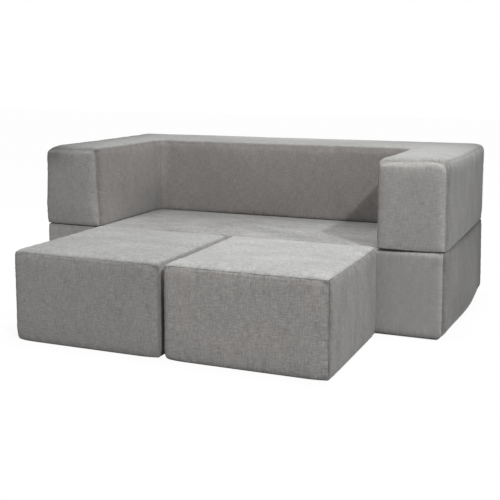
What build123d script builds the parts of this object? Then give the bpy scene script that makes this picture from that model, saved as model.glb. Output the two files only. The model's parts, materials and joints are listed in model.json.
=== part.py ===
"""A modular foam sofa: a seat base, a U-shaped back and arms hinged to it, and two loose ottomans.

Every module is a block of foam in a removable velour cover with a zip. The back and arms flip over
backwards about a cloth hinge and lie on the floor behind the base, to make a bed.
The origin is the centre of the base's underside, +Y points to the back and +Z up. Millimetres.
"""

import os
from dataclasses import dataclass

from build123d import *

# The four modules
sofa_width = 1500
base_depth = 750
base_height = 290
back_module_height = 295
arm_width = 226
back_thickness = 280
ottoman_width = 520
ottoman_depth = 505
ottoman_height = 295
ottoman_spacing = 14

# Modules that rest against each other
resting_gap = 0.3

# Soft shape of a stuffed cover: straight seams, with the panels between them swelling
edge_radius = 12
seat_crown = 7
ottoman_crown = 7
top_crown = 3
side_swell = 5
ottoman_side_swell = 4
arm_front_swell = 4
arm_inner_swell = 4
back_face_swell = 7
seam_margin = 20
swell_rim = 0.3
swell_sink = 1

# Covers, each with the wadding that swells it, over foam that is cut with bevelled edges
cover_thickness = 2
cover_ease = 0.3
foam_bevel = 9
hem_width = 34
hem_corner_cut = 12
grip_sheet_ease = 0.2

# Zips, each lying in a well that its seams pull into the cover
base_zip_inset = 100
back_zip_inset = 130
ottoman_zip_inset = 60
base_zip_height = 45
back_zip_height = 110
zip_well_depth = 5.6
zip_well_height = 26
zip_well_margin = 14
zip_slot_height = 11
tape_width = 9
tape_thickness = 0.8
tape_overhang = 8
teeth_width = 5
teeth_thickness = 2.2
stop_length = 3
stop_width = 8
stop_thickness = 1.2

# Zip slider
slider_length = 12
slider_width = 9.4
slider_nose_width = 7.4
slider_plate = 0.9
slider_clearance = 0.3
slider_lip = 0.7
slider_bevel = 0.8
wedge_length = 4
wedge_width = 3.2
bail_length = 8
bail_width = 2
bail_height = 2.2
bail_thickness = 0.9

# Cloth hinge between the base and the back
hinge_inset = 100
hinge_leaf_height = 60
hinge_leaf_thickness = 1.2
hinge_fold_radius = 2
hinge_fold_clearance = 0.3

# How far a cutting tool runs past what it cuts
overrun = 5

# Places that follow from the sizes
front_y = -base_depth / 2
rear_y = base_depth / 2
seat_back_y = rear_y - back_thickness
seat_side_x = sofa_width / 2 - arm_width
back_floor_z = base_height + resting_gap
back_height = back_module_height - top_crown
base_zip_length = sofa_width - 2 * base_zip_inset
back_zip_length = sofa_width - 2 * back_zip_inset
ottoman_zip_length = ottoman_width - 2 * ottoman_zip_inset
hinge_length = sofa_width - 2 * hinge_inset
hinge_y = rear_y + hinge_fold_radius
hinge_z = base_height + resting_gap / 2


def box_between(low, high):
    """A box from its lowest corner to its highest."""
    size = [b - a for a, b in zip(low, high)]
    return Pos(*low) * Box(*size, align=(Align.MIN, Align.MIN, Align.MIN))


def rectangle_corners(x_low, x_high, y_low, y_high):
    """Corners in order: the sides that follow are front, right, rear and left."""
    return [(x_low, y_low), (x_high, y_low), (x_high, y_high), (x_low, y_high)]


def inset_corners(corners, inset):
    """Moves each side of a square-cornered outline inwards."""
    moved = []
    for before, corner, after in zip(corners[-1:] + corners, corners, corners[1:] + corners[:1]):
        arriving = (Vector(*corner) - Vector(*before)).normalized()
        leaving = (Vector(*after) - Vector(*corner)).normalized()
        inwards = Vector(-arriving.Y - leaving.Y, arriving.X + leaving.X)
        moved.append((corner[0] + inset * inwards.X, corner[1] + inset * inwards.Y))
    return moved


def prism(corners, low_z, top_z):
    """An upright block with the given plan."""
    plan = make_face(Polyline(*corners, close=True))
    return Pos(0, 0, low_z) * extrude(plan, top_z - low_z)


def swelling(width, height, rise):
    """A shallow dome over the middle of a panel, which it leaves at a slight angle all round."""
    far_y = height / 2

    def section(x, peak):
        over = Edge.make_three_point_arc(
            Vector(x, -far_y, -swell_sink), Vector(x, 0, peak), Vector(x, far_y, -swell_sink)
        )
        under = Polyline(
            (x, far_y, -swell_sink), (x, far_y, -2 * swell_sink), (x, -far_y, -2 * swell_sink), (x, -far_y, -swell_sink)
        )
        return Face(Wire([over, *under.edges()]))

    far_x = width / 2
    end_peak = swell_rim - swell_sink
    return loft([section(-far_x, end_peak), section(0, rise), section(far_x, end_peak)])


@dataclass
class Panel:
    """A panel of a cover between its seams. A side panel's outward direction is level."""

    middle: tuple
    outwards: tuple
    width: float
    height: float
    rise: float

    def swelling(self):
        x, y, z = self.outwards
        level = (1, 0, 0) if z else (-y, x, 0)
        face = Plane(origin=self.middle, x_dir=level, z_dir=self.outwards)
        return face * swelling(self.width - 2 * seam_margin, self.height - 2 * seam_margin, self.rise)


@dataclass
class Zip:
    """A zip along X in a module's rear face, closed at its +X end."""

    length: float
    y: float
    z: float

    def well(self, inset):
        """What the zip's well takes out of the module's shape at a depth inside the cover."""
        reach_x = self.length / 2 + zip_well_margin + inset
        reach_z = zip_well_height / 2 + inset
        return box_between(
            (-reach_x, self.y - inset, self.z - reach_z),
            (reach_x, self.y + zip_well_depth + overrun, self.z + reach_z),
        )

    def slot(self):
        """The opening in the cover that the zip closes."""
        reach_z = zip_slot_height / 2
        return box_between(
            (-self.length / 2, self.y - cover_thickness - overrun, self.z - reach_z),
            (self.length / 2, self.y + overrun, self.z + reach_z),
        )

    @property
    def slider_x(self):
        return (self.length - slider_length) / 2

    @property
    def teeth_y(self):
        return self.y + tape_thickness / 2

    def tapes(self):
        """The two woven tapes, stitched over the edges of the slot."""
        reach_x = self.length / 2 + tape_overhang
        near_z, far_z = teeth_width / 2, teeth_width / 2 + tape_width
        upper = box_between(
            (-reach_x, self.y, self.z + near_z), (reach_x, self.y + tape_thickness, self.z + far_z)
        )
        lower = box_between(
            (-reach_x, self.y, self.z - far_z), (reach_x, self.y + tape_thickness, self.z - near_z)
        )
        return upper + lower

    def teeth(self):
        """The closed coil, from the bottom stop to the wedge of the slider."""
        end_x = self.slider_x + slider_length / 2 - wedge_length - slider_clearance
        return box_between(
            (-self.length / 2, self.teeth_y - teeth_thickness / 2, self.z - teeth_width / 2),
            (end_x, self.teeth_y + teeth_thickness / 2, self.z + teeth_width / 2),
        )

    def stops(self):
        """The two metal stops clenched on the tapes past the ends of the coil."""
        blank = Box(stop_length, stop_thickness, stop_width)
        blank = chamfer(blank.edges().filter_by(Axis.Z).group_by(Axis.Y)[-1], stop_thickness / 3)
        y = self.y + tape_thickness + stop_thickness / 2
        reach_x = self.length / 2 + stop_length
        return Pos(-reach_x, y, self.z) * blank + Pos(reach_x, y, self.z) * blank

    def slider(self):
        """Two plates that a wedge joins, with lips round the coil, and a bail in place of a pull tab."""
        channel_depth = teeth_thickness + 2 * slider_clearance
        channel_width = teeth_width + 2 * slider_clearance
        body_depth = channel_depth + 2 * slider_plate
        lip_gap = channel_depth - 2 * slider_lip
        half_length = slider_length / 2
        plan = Polyline(
            (-half_length, -slider_nose_width / 2),
            (half_length, -slider_width / 2),
            (half_length, slider_width / 2),
            (-half_length, slider_nose_width / 2),
            close=True,
        )
        blank = extrude(Plane.XZ * make_face(plan), body_depth / 2, both=True)
        blank = chamfer(blank.edges().filter_by(Axis.Y), slider_bevel)
        channel = Box(slider_length + 2 * overrun, channel_depth, channel_width)
        tape_way = Box(slider_length + 2 * overrun, lip_gap, slider_width + 2 * overrun)
        wedge = Pos(half_length - wedge_length / 2, 0, 0) * Box(wedge_length, channel_depth, wedge_width)
        bail = Box(bail_length, bail_height, bail_width)
        bail = chamfer(bail.edges().filter_by(Axis.Z).group_by(Axis.Y)[-1], bail_thickness / 2)
        bail -= Pos(0, -bail_thickness, 0) * Box(
            bail_length - 2 * bail_thickness, bail_height, bail_width + overrun
        )
        bail = Pos(0, (body_depth + bail_height) / 2, 0) * bail
        return Pos(self.slider_x, self.teeth_y, self.z) * (blank - channel - tape_way + wedge + bail)


@dataclass
class Module:
    """A block of foam in a zipped cover."""

    corners: list
    floor_z: float
    height: float
    panels: list
    zip: Zip

    def form(self):
        """The outside of the stuffed cover."""
        block = prism(self.corners, self.floor_z, self.floor_z + self.height)
        block = fillet(block.edges(), edge_radius)
        for panel in self.panels:
            block += panel.swelling()
        return block - self.zip.well(0)

    def cut_foam(self, inset):
        """The straight foam block at a depth inside the seams, bevelled along its outer edges."""
        corners = inset_corners(self.corners, inset)
        block = prism(corners, self.floor_z + inset, self.floor_z + self.height - inset)
        upright = block.edges().filter_by(Axis.Z).group_by(Axis.Y)
        level = block.edges().group_by(Axis.Z)
        block = chamfer(upright[0] + upright[-1] + level[0] + level[-1], foam_bevel)
        return block - self.zip.well(inset)

    def cover(self):
        """The velour cover, with the zip's slot."""
        return self.form() - self.cut_foam(cover_thickness) - self.zip.slot()

    def foam(self):
        """The foam block, a little smaller than the inside of its cover."""
        return self.cut_foam(cover_thickness + cover_ease)


def grip_sheet(module, ease=0):
    """The non-slip sheet let into the underside of a cover, inside its hem."""
    (x_low, y_low), _, (x_high, y_high), _ = inset_corners(module.corners, hem_width + ease)
    sheet = Rectangle(x_high - x_low, y_high - y_low)
    sheet = chamfer(sheet.vertices(), hem_corner_cut)
    middle = Pos((x_low + x_high) / 2, (y_low + y_high) / 2, module.floor_z)
    return middle * extrude(sheet, cover_thickness)


def side_panel(x, y, outwards, width, low_z, height, rise):
    """An upright panel whose middle is above (x, y)."""
    return Panel((x, y, low_z + height / 2), (*outwards, 0), width, height, rise)


def top_panel(x_range, y_range, z, rise):
    """A level panel between two places along each axis."""
    middle = (sum(x_range) / 2, sum(y_range) / 2, z)
    return Panel(middle, (0, 0, 1), x_range[1] - x_range[0], y_range[1] - y_range[0], rise)


def base_module():
    """The seat base. It swells where nothing rests on it or stands against it."""
    half = sofa_width / 2
    panels = [side_panel(x, 0, (x / half, 0), base_depth, 0, base_height, side_swell) for x in (-half, half)]
    panels.append(top_panel((-seat_side_x, seat_side_x), (front_y, seat_back_y), base_height, seat_crown))
    return Module(
        corners=rectangle_corners(-half, half, front_y, rear_y),
        floor_z=0,
        height=base_height,
        panels=panels,
        zip=Zip(base_zip_length, rear_y - zip_well_depth, base_zip_height),
    )


def back_module():
    """The back and both arms, one U-shaped piece."""
    half = sofa_width / 2
    top_z = back_floor_z + back_height
    arm_y = (front_y, seat_back_y)
    panels = [
        side_panel(0, seat_back_y, (0, -1), 2 * seat_side_x, back_floor_z, back_height, back_face_swell),
        top_panel((-half, half), (seat_back_y, rear_y), top_z, top_crown),
    ]
    for side in (-1, 1):
        outer_x, inner_x = side * half, side * seat_side_x
        arm_length = seat_back_y - front_y
        arm_middle = ((outer_x + inner_x) / 2, front_y), (0, -1)
        inner_middle = (inner_x, (front_y + seat_back_y) / 2), (-side, 0)
        outer_middle = (outer_x, 0), (side, 0)
        for (place, outwards), width, rise in (
            (arm_middle, arm_width, arm_front_swell),
            (inner_middle, arm_length, arm_inner_swell),
            (outer_middle, base_depth, side_swell),
        ):
            panels.append(side_panel(*place, outwards, width, back_floor_z, back_height, rise))
        panels.append(top_panel(sorted((outer_x, inner_x)), arm_y, top_z, top_crown))
    return Module(
        corners=[
            (-half, front_y),
            (-seat_side_x, front_y),
            (-seat_side_x, seat_back_y),
            (seat_side_x, seat_back_y),
            (seat_side_x, front_y),
            (half, front_y),
            (half, rear_y),
            (-half, rear_y),
        ],
        floor_z=back_floor_z,
        height=back_height,
        panels=panels,
        zip=Zip(back_zip_length, rear_y - zip_well_depth, back_floor_z + back_zip_height),
    )


def ottoman_module():
    """One ottoman, centred on X = 0. Its rear face stands against the front of the base."""
    half = ottoman_width / 2
    rear = front_y - resting_gap
    front = rear - ottoman_depth
    middle = (front + rear) / 2
    panels = [
        side_panel(0, front, (0, -1), ottoman_width, 0, ottoman_height, side_swell),
        side_panel(-half, middle, (-1, 0), ottoman_depth, 0, ottoman_height, ottoman_side_swell),
        side_panel(half, middle, (1, 0), ottoman_depth, 0, ottoman_height, ottoman_side_swell),
        top_panel((-half, half), (front, rear), ottoman_height, ottoman_crown),
    ]
    return Module(
        corners=rectangle_corners(-half, half, front, rear),
        floor_z=0,
        height=ottoman_height,
        panels=panels,
        zip=Zip(ottoman_zip_length, rear - zip_well_depth, base_zip_height),
    )


def module_parts(name, module):
    """The cover, foam and zip of a module that stands on the floor, each under its node's name."""
    return {
        f"{name}_foam": module.foam(),
        f"{name}_cover": module.cover() - grip_sheet(module),
        f"{name}_grip_sheet": grip_sheet(module, grip_sheet_ease),
        **zip_parts(name, module.zip),
    }


def zip_parts(name, closure):
    """The pieces of one zip."""
    return {
        f"{name}_zip_tapes": closure.tapes(),
        f"{name}_zip_teeth": closure.teeth(),
        f"{name}_zip_stops": closure.stops(),
        f"{name}_zip_slider": closure.slider(),
    }


def back_parts(module):
    """The cover, the three glued foam blocks and the zip of the back and arms."""
    inset = cover_thickness + cover_ease
    foam = module.foam()
    glue_y = seat_back_y + inset
    arm_inner_x = seat_side_x + inset
    far_x, far_y = sofa_width, base_depth
    low_z, high_z = back_floor_z, back_floor_z + back_module_height
    behind_glue = box_between((-far_x, glue_y, low_z), (far_x, far_y, high_z))
    left_of_seat = box_between((-far_x, -far_y, low_z), (-arm_inner_x, glue_y, high_z))
    right_of_seat = box_between((arm_inner_x, -far_y, low_z), (far_x, glue_y, high_z))
    return {
        "back_foam": foam & behind_glue,
        "left_arm_foam": foam & left_of_seat,
        "right_arm_foam": foam & right_of_seat,
        "back_cover": module.cover(),
        **zip_parts("back", module.zip),
    }


def hinge_parts():
    """The cloth hinge: a lower leaf with the folded edge on the hinge line, and an upper leaf."""
    reach_x = hinge_length / 2
    leaf_y = (rear_y, rear_y + hinge_leaf_thickness)
    lower = box_between(
        (-reach_x, leaf_y[0], hinge_z - hinge_leaf_height), (reach_x, leaf_y[1], hinge_z)
    )
    fold = Pos(0, hinge_y, hinge_z) * Rot(0, 90, 0) * Cylinder(hinge_fold_radius, hinge_length)
    upper_start = hinge_z + hinge_fold_radius + hinge_fold_clearance
    upper = box_between(
        (-reach_x, leaf_y[0], upper_start), (reach_x, leaf_y[1], hinge_z + hinge_leaf_height)
    )
    return {"hinge_lower_leaf": lower + fold, "hinge_upper_leaf": upper}


def main():
    """Builds every node and writes it to its own STEP file."""
    parts = module_parts("base", base_module())
    parts |= back_parts(back_module())
    parts |= hinge_parts()
    ottoman = module_parts("ottoman", ottoman_module())
    side_step = (ottoman_width + ottoman_spacing) / 2
    for side, x in (("left", -side_step), ("right", side_step)):
        parts |= {f"{side}_{name}": Pos(x, 0, 0) * piece for name, piece in ottoman.items()}

    os.makedirs("parts", exist_ok=True)
    for name, piece in parts.items():
        export_step(piece, f"parts/{name}.step")


main()
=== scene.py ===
"""The looks of a modular foam play sofa, built around its CAD frame.

Every module is a block of foam in a stuffed velour cover: flat panels that meet in seams along the
edges, swell a little between them and are drawn in at the corners. Sizes are in metres.
"""

import json
import logging
import math
from collections.abc import Callable
from dataclasses import dataclass, field
from enum import Enum

import bpy
import numpy as np
from mathutils import Matrix, Vector, noise

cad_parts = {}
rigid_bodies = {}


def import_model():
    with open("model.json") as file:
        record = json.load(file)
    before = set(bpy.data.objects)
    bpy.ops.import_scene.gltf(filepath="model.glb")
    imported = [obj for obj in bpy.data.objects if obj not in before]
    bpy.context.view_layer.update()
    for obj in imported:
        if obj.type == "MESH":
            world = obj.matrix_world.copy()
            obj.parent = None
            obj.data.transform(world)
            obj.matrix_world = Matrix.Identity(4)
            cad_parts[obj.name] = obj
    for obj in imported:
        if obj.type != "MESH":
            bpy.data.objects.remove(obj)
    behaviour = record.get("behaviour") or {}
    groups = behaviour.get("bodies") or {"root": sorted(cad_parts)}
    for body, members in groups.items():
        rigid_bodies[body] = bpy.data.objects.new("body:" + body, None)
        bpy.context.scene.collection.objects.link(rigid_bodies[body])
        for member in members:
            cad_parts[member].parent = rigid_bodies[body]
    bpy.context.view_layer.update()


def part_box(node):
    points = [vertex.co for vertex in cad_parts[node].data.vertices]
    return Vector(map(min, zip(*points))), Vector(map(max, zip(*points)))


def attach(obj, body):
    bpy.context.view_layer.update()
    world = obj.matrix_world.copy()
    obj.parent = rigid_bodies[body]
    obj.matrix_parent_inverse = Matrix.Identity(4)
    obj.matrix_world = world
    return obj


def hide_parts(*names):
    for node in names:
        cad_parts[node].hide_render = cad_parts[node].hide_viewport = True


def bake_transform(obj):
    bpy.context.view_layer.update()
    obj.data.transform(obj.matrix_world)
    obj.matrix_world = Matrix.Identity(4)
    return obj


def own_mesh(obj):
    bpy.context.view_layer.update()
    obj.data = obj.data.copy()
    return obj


LOG = logging.getLogger("sofa")

Pair = tuple[float, float]
Triple = tuple[float, float, float]
Number = "Wire | float"
Value = "Wire | float | tuple"


# Shader building


def operator(operation: str, turned: bool = False) -> Callable:
    """Makes an operator for wires.

    Args:
        operation: the operation of the Math node that it adds.
        turned: whether the number comes first.

    Returns:
        The operator.
    """

    def apply(self: "Wire", other: Number) -> "Wire":
        """Adds the node."""
        return self.maths(operation, *((other, self) if turned else (self, other)))

    return apply


class Wire:
    """A shader socket that can be used in a Python sum; each operator adds its Math node."""

    __add__, __radd__ = operator("ADD"), operator("ADD", turned=True)
    __sub__, __rsub__ = operator("SUBTRACT"), operator("SUBTRACT", turned=True)
    __mul__, __rmul__ = operator("MULTIPLY"), operator("MULTIPLY", turned=True)

    def __init__(self, finish: "Finish", socket: bpy.types.NodeSocket) -> None:
        """Keeps the socket and the finish whose node tree it is in."""
        self.finish = finish
        self.socket = socket

    def maths(self, operation: str, *values: Number) -> "Wire":
        """Adds one Math node with the given inputs."""
        return self.finish.node("ShaderNodeMath", dict(enumerate(values)), operation=operation)

    def bell(self, width: float) -> "Wire":
        """A bump of height 1 at zero, which falls to about a third at the given width."""
        near = self * (1.0 / width)
        return self.maths("EXPONENT", near * near * -1.0)

    def fade(self, length: float) -> "Wire":
        """Falls from 1 at zero, to about a third at the given length."""
        return self.maths("EXPONENT", self * (-1.0 / length))

    def sine(self) -> "Wire":
        """The sine of the value."""
        return self.maths("SINE", self)

    def clamped(self) -> "Wire":
        """The value kept between 0 and 1."""
        return self.finish.node("ShaderNodeClamp", {"Value": self})


@dataclass(frozen=True)
class Finish:
    """A procedural material. Each kind of surface has its own class and pattern."""

    name: str

    def material(self) -> bpy.types.Material:
        """Makes the material once and returns it.

        Returns:
            The material, with its nodes.
        """
        found = bpy.data.materials.get(self.name)
        if found:
            return found
        made = bpy.data.materials.new(self.name)
        made.use_nodes = True
        object.__setattr__(self, "tree", made.node_tree)
        object.__setattr__(self, "surface", made.node_tree.nodes["Principled BSDF"])
        self.paint()
        return made

    def paint(self) -> None:
        """Adds the pattern's nodes."""
        raise NotImplementedError

    def node(self, kind: str, inputs: dict, output: int | str = 0, **settings: str) -> Wire:
        """Adds a node.

        Args:
            kind: the node's type.
            inputs: values or wires for its sockets, by name or number.
            output: the socket to return.
            settings: its properties, which are set first.

        Returns:
            The output socket.
        """
        made = self.tree.nodes.new(kind)
        for key, value in settings.items():
            setattr(made, key, value)
        for key, value in inputs.items():
            self.connect(made.inputs[key], value)
        return Wire(self, made.outputs[output])

    def connect(self, socket: bpy.types.NodeSocket, value: Value) -> None:
        """Sets or links one input socket.

        Args:
            socket: the input.
            value: a number, a tuple or a wire.
        """
        if isinstance(value, Wire):
            self.tree.links.new(value.socket, socket)
        elif isinstance(value, tuple) and len(value) == 3 and socket.type == "RGBA":
            socket.default_value = (*value, 1.0)
        else:
            socket.default_value = value

    def set(self, **values: Value) -> None:
        """Sets the surface shader's sockets; an underscore stands for a space."""
        for key, value in values.items():
            self.connect(self.surface.inputs[key.replace("_", " ")], value)

    def place(self, kind: str = "Object") -> Wire:
        """The Object coordinates, or with UV the piece's own map, which is in metres."""
        return self.node("ShaderNodeTexCoord", {}, kind)

    def attribute(self, name: str) -> Wire:
        """A number stored on the mesh."""
        return self.node("ShaderNodeAttribute", {}, "Fac", attribute_name=name)

    def parts_of(self, vector: Wire) -> tuple[Wire, Wire, Wire]:
        """A vector's three components."""
        outputs = self.node("ShaderNodeSeparateXYZ", {"Vector": vector}).socket.node.outputs
        return tuple(Wire(self, outputs[axis]) for axis in "XYZ")

    def joined(self, x: Value, y: Value, z: Value = 0.0) -> Wire:
        """A vector from three components."""
        return self.node("ShaderNodeCombineXYZ", {"X": x, "Y": y, "Z": z})

    def stretched(self, vector: Wire, *scale: float) -> Wire:
        """Coordinates scaled along each axis."""
        return self.node("ShaderNodeMapping", {"Vector": vector, "Scale": scale})

    def cloud(
        self, vector: Wire, scale: float, detail: float = 3.0, roughness: float = 0.55
    ) -> Wire:
        """Noise centred on zero, from about -0.5 to 0.5."""
        inputs = {"Vector": vector, "Scale": scale, "Detail": detail, "Roughness": roughness}
        return self.node("ShaderNodeTexNoise", inputs) - 0.5

    def weave(self, turns: float) -> Wire:
        """A plain weave on the piece's own map, with the given radians to a metre."""
        u, v, _ = self.parts_of(self.place("UV"))
        return (u * turns).sine() * (v * turns).sine()

    def tinted(self, colour: Value, light: Wire) -> Wire:
        """A colour made lighter or darker over the surface, with light 1 for the colour itself."""
        inputs = {"Vector": colour, "Scale": light}
        return self.node("ShaderNodeVectorMath", inputs, operation="SCALE")

    def blended(self, share: Wire, first: Value, second: Value) -> Wire:
        """Mixes two colours by the share of the second."""
        return self.node("ShaderNodeMix", {0: share, 6: first, 7: second}, 2, data_type="RGBA")

    def raised(self, height: Wire, distance: float, strength: float = 1.0) -> Wire:
        """A normal from a height, which is in units of the distance."""
        inputs = {"Height": height, "Distance": distance, "Strength": strength}
        return self.node("ShaderNodeBump", inputs, "Normal")


@dataclass(frozen=True)
class Velour(Finish):
    """Short-pile velour with a brushed nap and a faint cross grain, puckered along its seams."""

    colour: Triple = (0.340, 0.340, 0.333)
    warm: Triple = (0.356, 0.333, 0.320)
    seam_width: float = 0.0016
    shade_width: float = 0.009
    pile_depth: float = 0.00055

    def paint(self) -> None:
        """Adds the nap, the grain, the seams and their puckers, with painted shade along the edges
        and painted light and shade on the puckers.
        """
        place, cloth = self.place(), self.place("UV")
        patches = self.cloud(place, 5.5, 2.0)
        smudges = self.cloud(self.stretched(cloth, 1.0, 0.45, 1.0), 38.0)
        flecks = self.cloud(place, 190.0, 3.0, 0.7)
        pile = self.cloud(place, 900.0, 2.0, 0.6)
        grain = self.cloud(self.stretched(cloth, 40.0, 330.0, 1.0), 1.0, 2.0)
        grain += self.cloud(self.stretched(cloth, 330.0, 40.0, 1.0), 1.0, 2.0)
        across = self.cloud(self.stretched(cloth, 0.5, 1.1, 1.0), 11.0, 4.0, 0.62)
        upwards = self.cloud(self.stretched(cloth, 1.1, 0.4, 1.0), 17.0, 4.0, 0.62)
        marks = across * self.attribute("across") + upwards * self.attribute("upwards")

        gaps = [self.attribute(name) for name in SEAM_GAPS]
        sewn = self.attribute("seams")
        seam = sum(gap.bell(self.seam_width) for gap in gaps).clamped() * sewn
        level_x, level_y, upright = (gap.bell(self.shade_width) for gap in gaps)
        # painted shade: the colour is darkened along the rounded edges and seams, which would
        # otherwise catch more light than the faces
        shade = (level_x + level_y + upright * sewn).clamped()
        puckers = sum(map(self._puckers, self.parts_of(place), gaps)) * sewn
        broken = (self.cloud(place, 16.0, 2.0) * 2.6 + 0.62).clamped()

        coarse = (flecks * 0.50 + grain * 0.55) * self.attribute("grain")
        # the puckers also lighten and darken the colour: painted light and shade on the creases
        light = 1.0 + patches * 0.12 + smudges * 0.22 + marks * 1.1 + coarse + puckers * 0.45
        # the tone attribute holds each panel's nap together with its painted light and shade
        light = light * (1.0 - seam * broken * 0.5) * (1.0 - shade * 0.24) * self.attribute("tone")
        warmth = (patches * 0.6 + smudges * 0.3 + self.attribute("warmth")).clamped()
        height = grain * 0.30 + flecks * 0.55 + pile * 0.25 + puckers * 2.2 - seam * 1.5
        self.set(
            Base_Color=self.tinted(self.blended(warmth, self.colour, self.warm), light),
            Roughness=0.93 + smudges * 0.08,
            Specular_IOR_Level=0.18,
            Sheen_Weight=0.35,
            Sheen_Roughness=0.45,
            Sheen_Tint=(0.93, 0.92, 0.91),
            Normal=self.raised(height, self.pile_depth, 0.9),
        )

    def _puckers(self, along: Wire, gap: Wire) -> Wire:
        """Short creases square to a seam, which fade with the distance from it.

        Args:
            along: the coordinate along the seam.
            gap: the distance from it.

        Returns:
            The creases' height.
        """
        fine = self.cloud(self.joined(along * 165.0, gap * 14.0), 1.0, 1.0)
        broad = self.cloud(self.joined(along * 62.0, gap * 8.0, 3.7), 1.0, 1.0)
        return fine * gap.fade(0.024) + broad * 0.9 * gap.fade(0.045)


@dataclass(frozen=True)
class Woven(Finish):
    """Plain woven cloth, as on zip tapes and the hinge strip."""

    colour: Triple = (0.20, 0.196, 0.192)
    pitch: float = 0.0009

    def paint(self) -> None:
        """Adds the weave and a slow change of tone."""
        weave = self.weave(2.0 * math.pi / self.pitch)
        tone = self.cloud(self.place(), 60.0)
        fuzz = self.cloud(self.place(), 1400.0, 2.0)
        self.set(
            Base_Color=self.tinted(self.colour, 1.0 + weave * 0.12 + tone * 0.16 + fuzz * 0.18),
            Roughness=0.85 + tone * 0.1,
            Specular_IOR_Level=0.25,
            Sheen_Weight=0.08,
            Normal=self.raised(weave * 0.6 + fuzz * 0.4, 0.0002, 0.8),
        )


@dataclass(frozen=True)
class GripCloth(Finish):
    """Dark non-slip cloth with a dull coated face."""

    colour: Triple = (0.035, 0.035, 0.037)

    def paint(self) -> None:
        """Adds the canvas texture under the coating."""
        weave = self.weave(5200.0)
        tone = self.cloud(self.place(), 18.0, 4.0)
        self.set(
            Base_Color=self.tinted(self.colour, 1.0 + weave * 0.15 + tone * 0.5),
            Roughness=0.72 + tone * 0.2,
            Normal=self.raised(weave + tone, 0.00018, 0.7),
        )


@dataclass(frozen=True)
class Moulded(Finish):
    """Moulded nylon or silicone, such as the zip's coil and the grip dots."""

    colour: Triple = (0.115, 0.112, 0.11)
    roughness: float = 0.42

    def paint(self) -> None:
        """Adds a faint mottle and surface grain."""
        tone = self.cloud(self.place(), 220.0)
        grain = self.cloud(self.place(), 2600.0, 2.0)
        self.set(
            Base_Color=self.tinted(self.colour, 1.0 + tone * 0.25 + grain * 0.1),
            Roughness=self.roughness + tone * 0.25,
            Normal=self.raised(grain, 0.00006, 0.6),
        )


@dataclass(frozen=True)
class CastMetal(Finish):
    """Small zinc castings with a dark painted finish, rubbed along the edges."""

    colour: Triple = (0.16, 0.16, 0.165)
    rubbed: Triple = (0.42, 0.42, 0.43)

    def paint(self) -> None:
        """Adds the paint, its wear at the edges and fine scratches."""
        edges = self.node("ShaderNodeNewGeometry", {}, "Pointiness")
        scratches = self.cloud(self.stretched(self.place(), 80.0, 900.0, 900.0), 1.0)
        mottle = self.cloud(self.place(), 500.0)
        wear = ((edges - 0.53) * 9.0 + mottle * 0.6).clamped()
        self.set(
            Base_Color=self.blended(wear, self.colour, self.rubbed),
            Metallic=0.35 + wear * 0.6,
            Roughness=0.36 + scratches * 0.25,
            Normal=self.raised(scratches + mottle * 0.5, 0.00004, 0.5),
        )


@dataclass(frozen=True)
class Thread(Finish):
    """Twisted sewing thread."""

    colour: Triple = (0.31, 0.30, 0.292)

    def paint(self) -> None:
        """Adds the twist of the strands."""
        twist = (sum(self.parts_of(self.place())) * 9000.0).sine()
        tone = self.cloud(self.place(), 400.0, 2.0)
        self.set(
            Base_Color=self.tinted(self.colour, 1.0 + twist * 0.12 + tone * 0.2),
            Roughness=0.6 + tone * 0.2,
            Normal=self.raised(twist, 0.00008, 0.6),
        )


@dataclass(frozen=True)
class StudioFloor(Finish):
    """A pale matt floor that shows as white, and keeps a faint shadow."""

    colour: Triple = (0.34, 0.34, 0.34)
    shadow_share: float = 0.22
    seen_level: float = 1.20

    def paint(self) -> None:
        """Mixes the lit floor with plain white for what the camera and glossy surfaces see."""
        self.set(Base_Color=self.colour, Roughness=0.9, Specular_IOR_Level=0.1)
        rays = self.tree.nodes.new("ShaderNodeLightPath").outputs
        kinds = ("Is Camera Ray", "Is Glossy Ray", "Is Transmission Ray")
        seen = sum(Wire(self, rays[kind]) for kind in kinds).clamped() * (1.0 - self.shadow_share)
        light = {"Color": (1.0, 1.0, 1.0), "Strength": self.seen_level}
        white = self.node("ShaderNodeEmission", light)
        lit = Wire(self, self.surface.outputs[0])
        mixed = self.node("ShaderNodeMixShader", {0: seen, 1: lit, 2: white})
        self.connect(self.tree.nodes["Material Output"].inputs["Surface"], mixed)


SEAM_GAPS = ("seam_x", "seam_y", "seam_z")
FAR_FROM_SEAM = 0.5
SEED_STEP = (3.1, 1.7, 0.9)
REAR_BAND = 0.004
FACING = 0.5

VELOUR = Velour("cover velour")
TAPE = Woven("zip tape")
HINGE_CLOTH = Woven("hinge cloth", colour=(0.27, 0.262, 0.256), pitch=0.0014)
GRIP = GripCloth("grip cloth")
GRIP_DOT = Moulded("grip dots", colour=(0.05, 0.05, 0.052), roughness=0.5)
COIL = Moulded("zip coil")
ZIP_METAL = CastMetal("zip metal")
SEWING = Thread("sewing thread")


# Meshes


def new_mesh(
    name: str, points: np.ndarray, faces: list, finish: Finish, smooth: bool = True
) -> bpy.types.Object:
    """Makes a mesh object in the scene.

    Args:
        name: the piece's name.
        points: its vertices.
        faces: the corner numbers of each face.
        finish: its material.
        smooth: whether it is shaded smooth.

    Returns:
        The object.
    """
    mesh = bpy.data.meshes.new(name)
    mesh.from_pydata([tuple(p) for p in points], [], faces)
    mesh.update()
    mesh.materials.append(finish.material())
    mesh.polygons.foreach_set("use_smooth", [smooth] * len(mesh.polygons))
    made = bpy.data.objects.new(name, mesh)
    bpy.context.scene.collection.objects.link(made)
    return made


def set_map(piece: bpy.types.Object, corners: np.ndarray) -> None:
    """Gives a piece a UV map in metres, from the place on the cloth of every face corner."""
    layer = piece.data.uv_layers.new(name="cloth")
    layer.data.foreach_set("uv", np.asarray(corners, dtype=np.float32).ravel())


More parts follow.
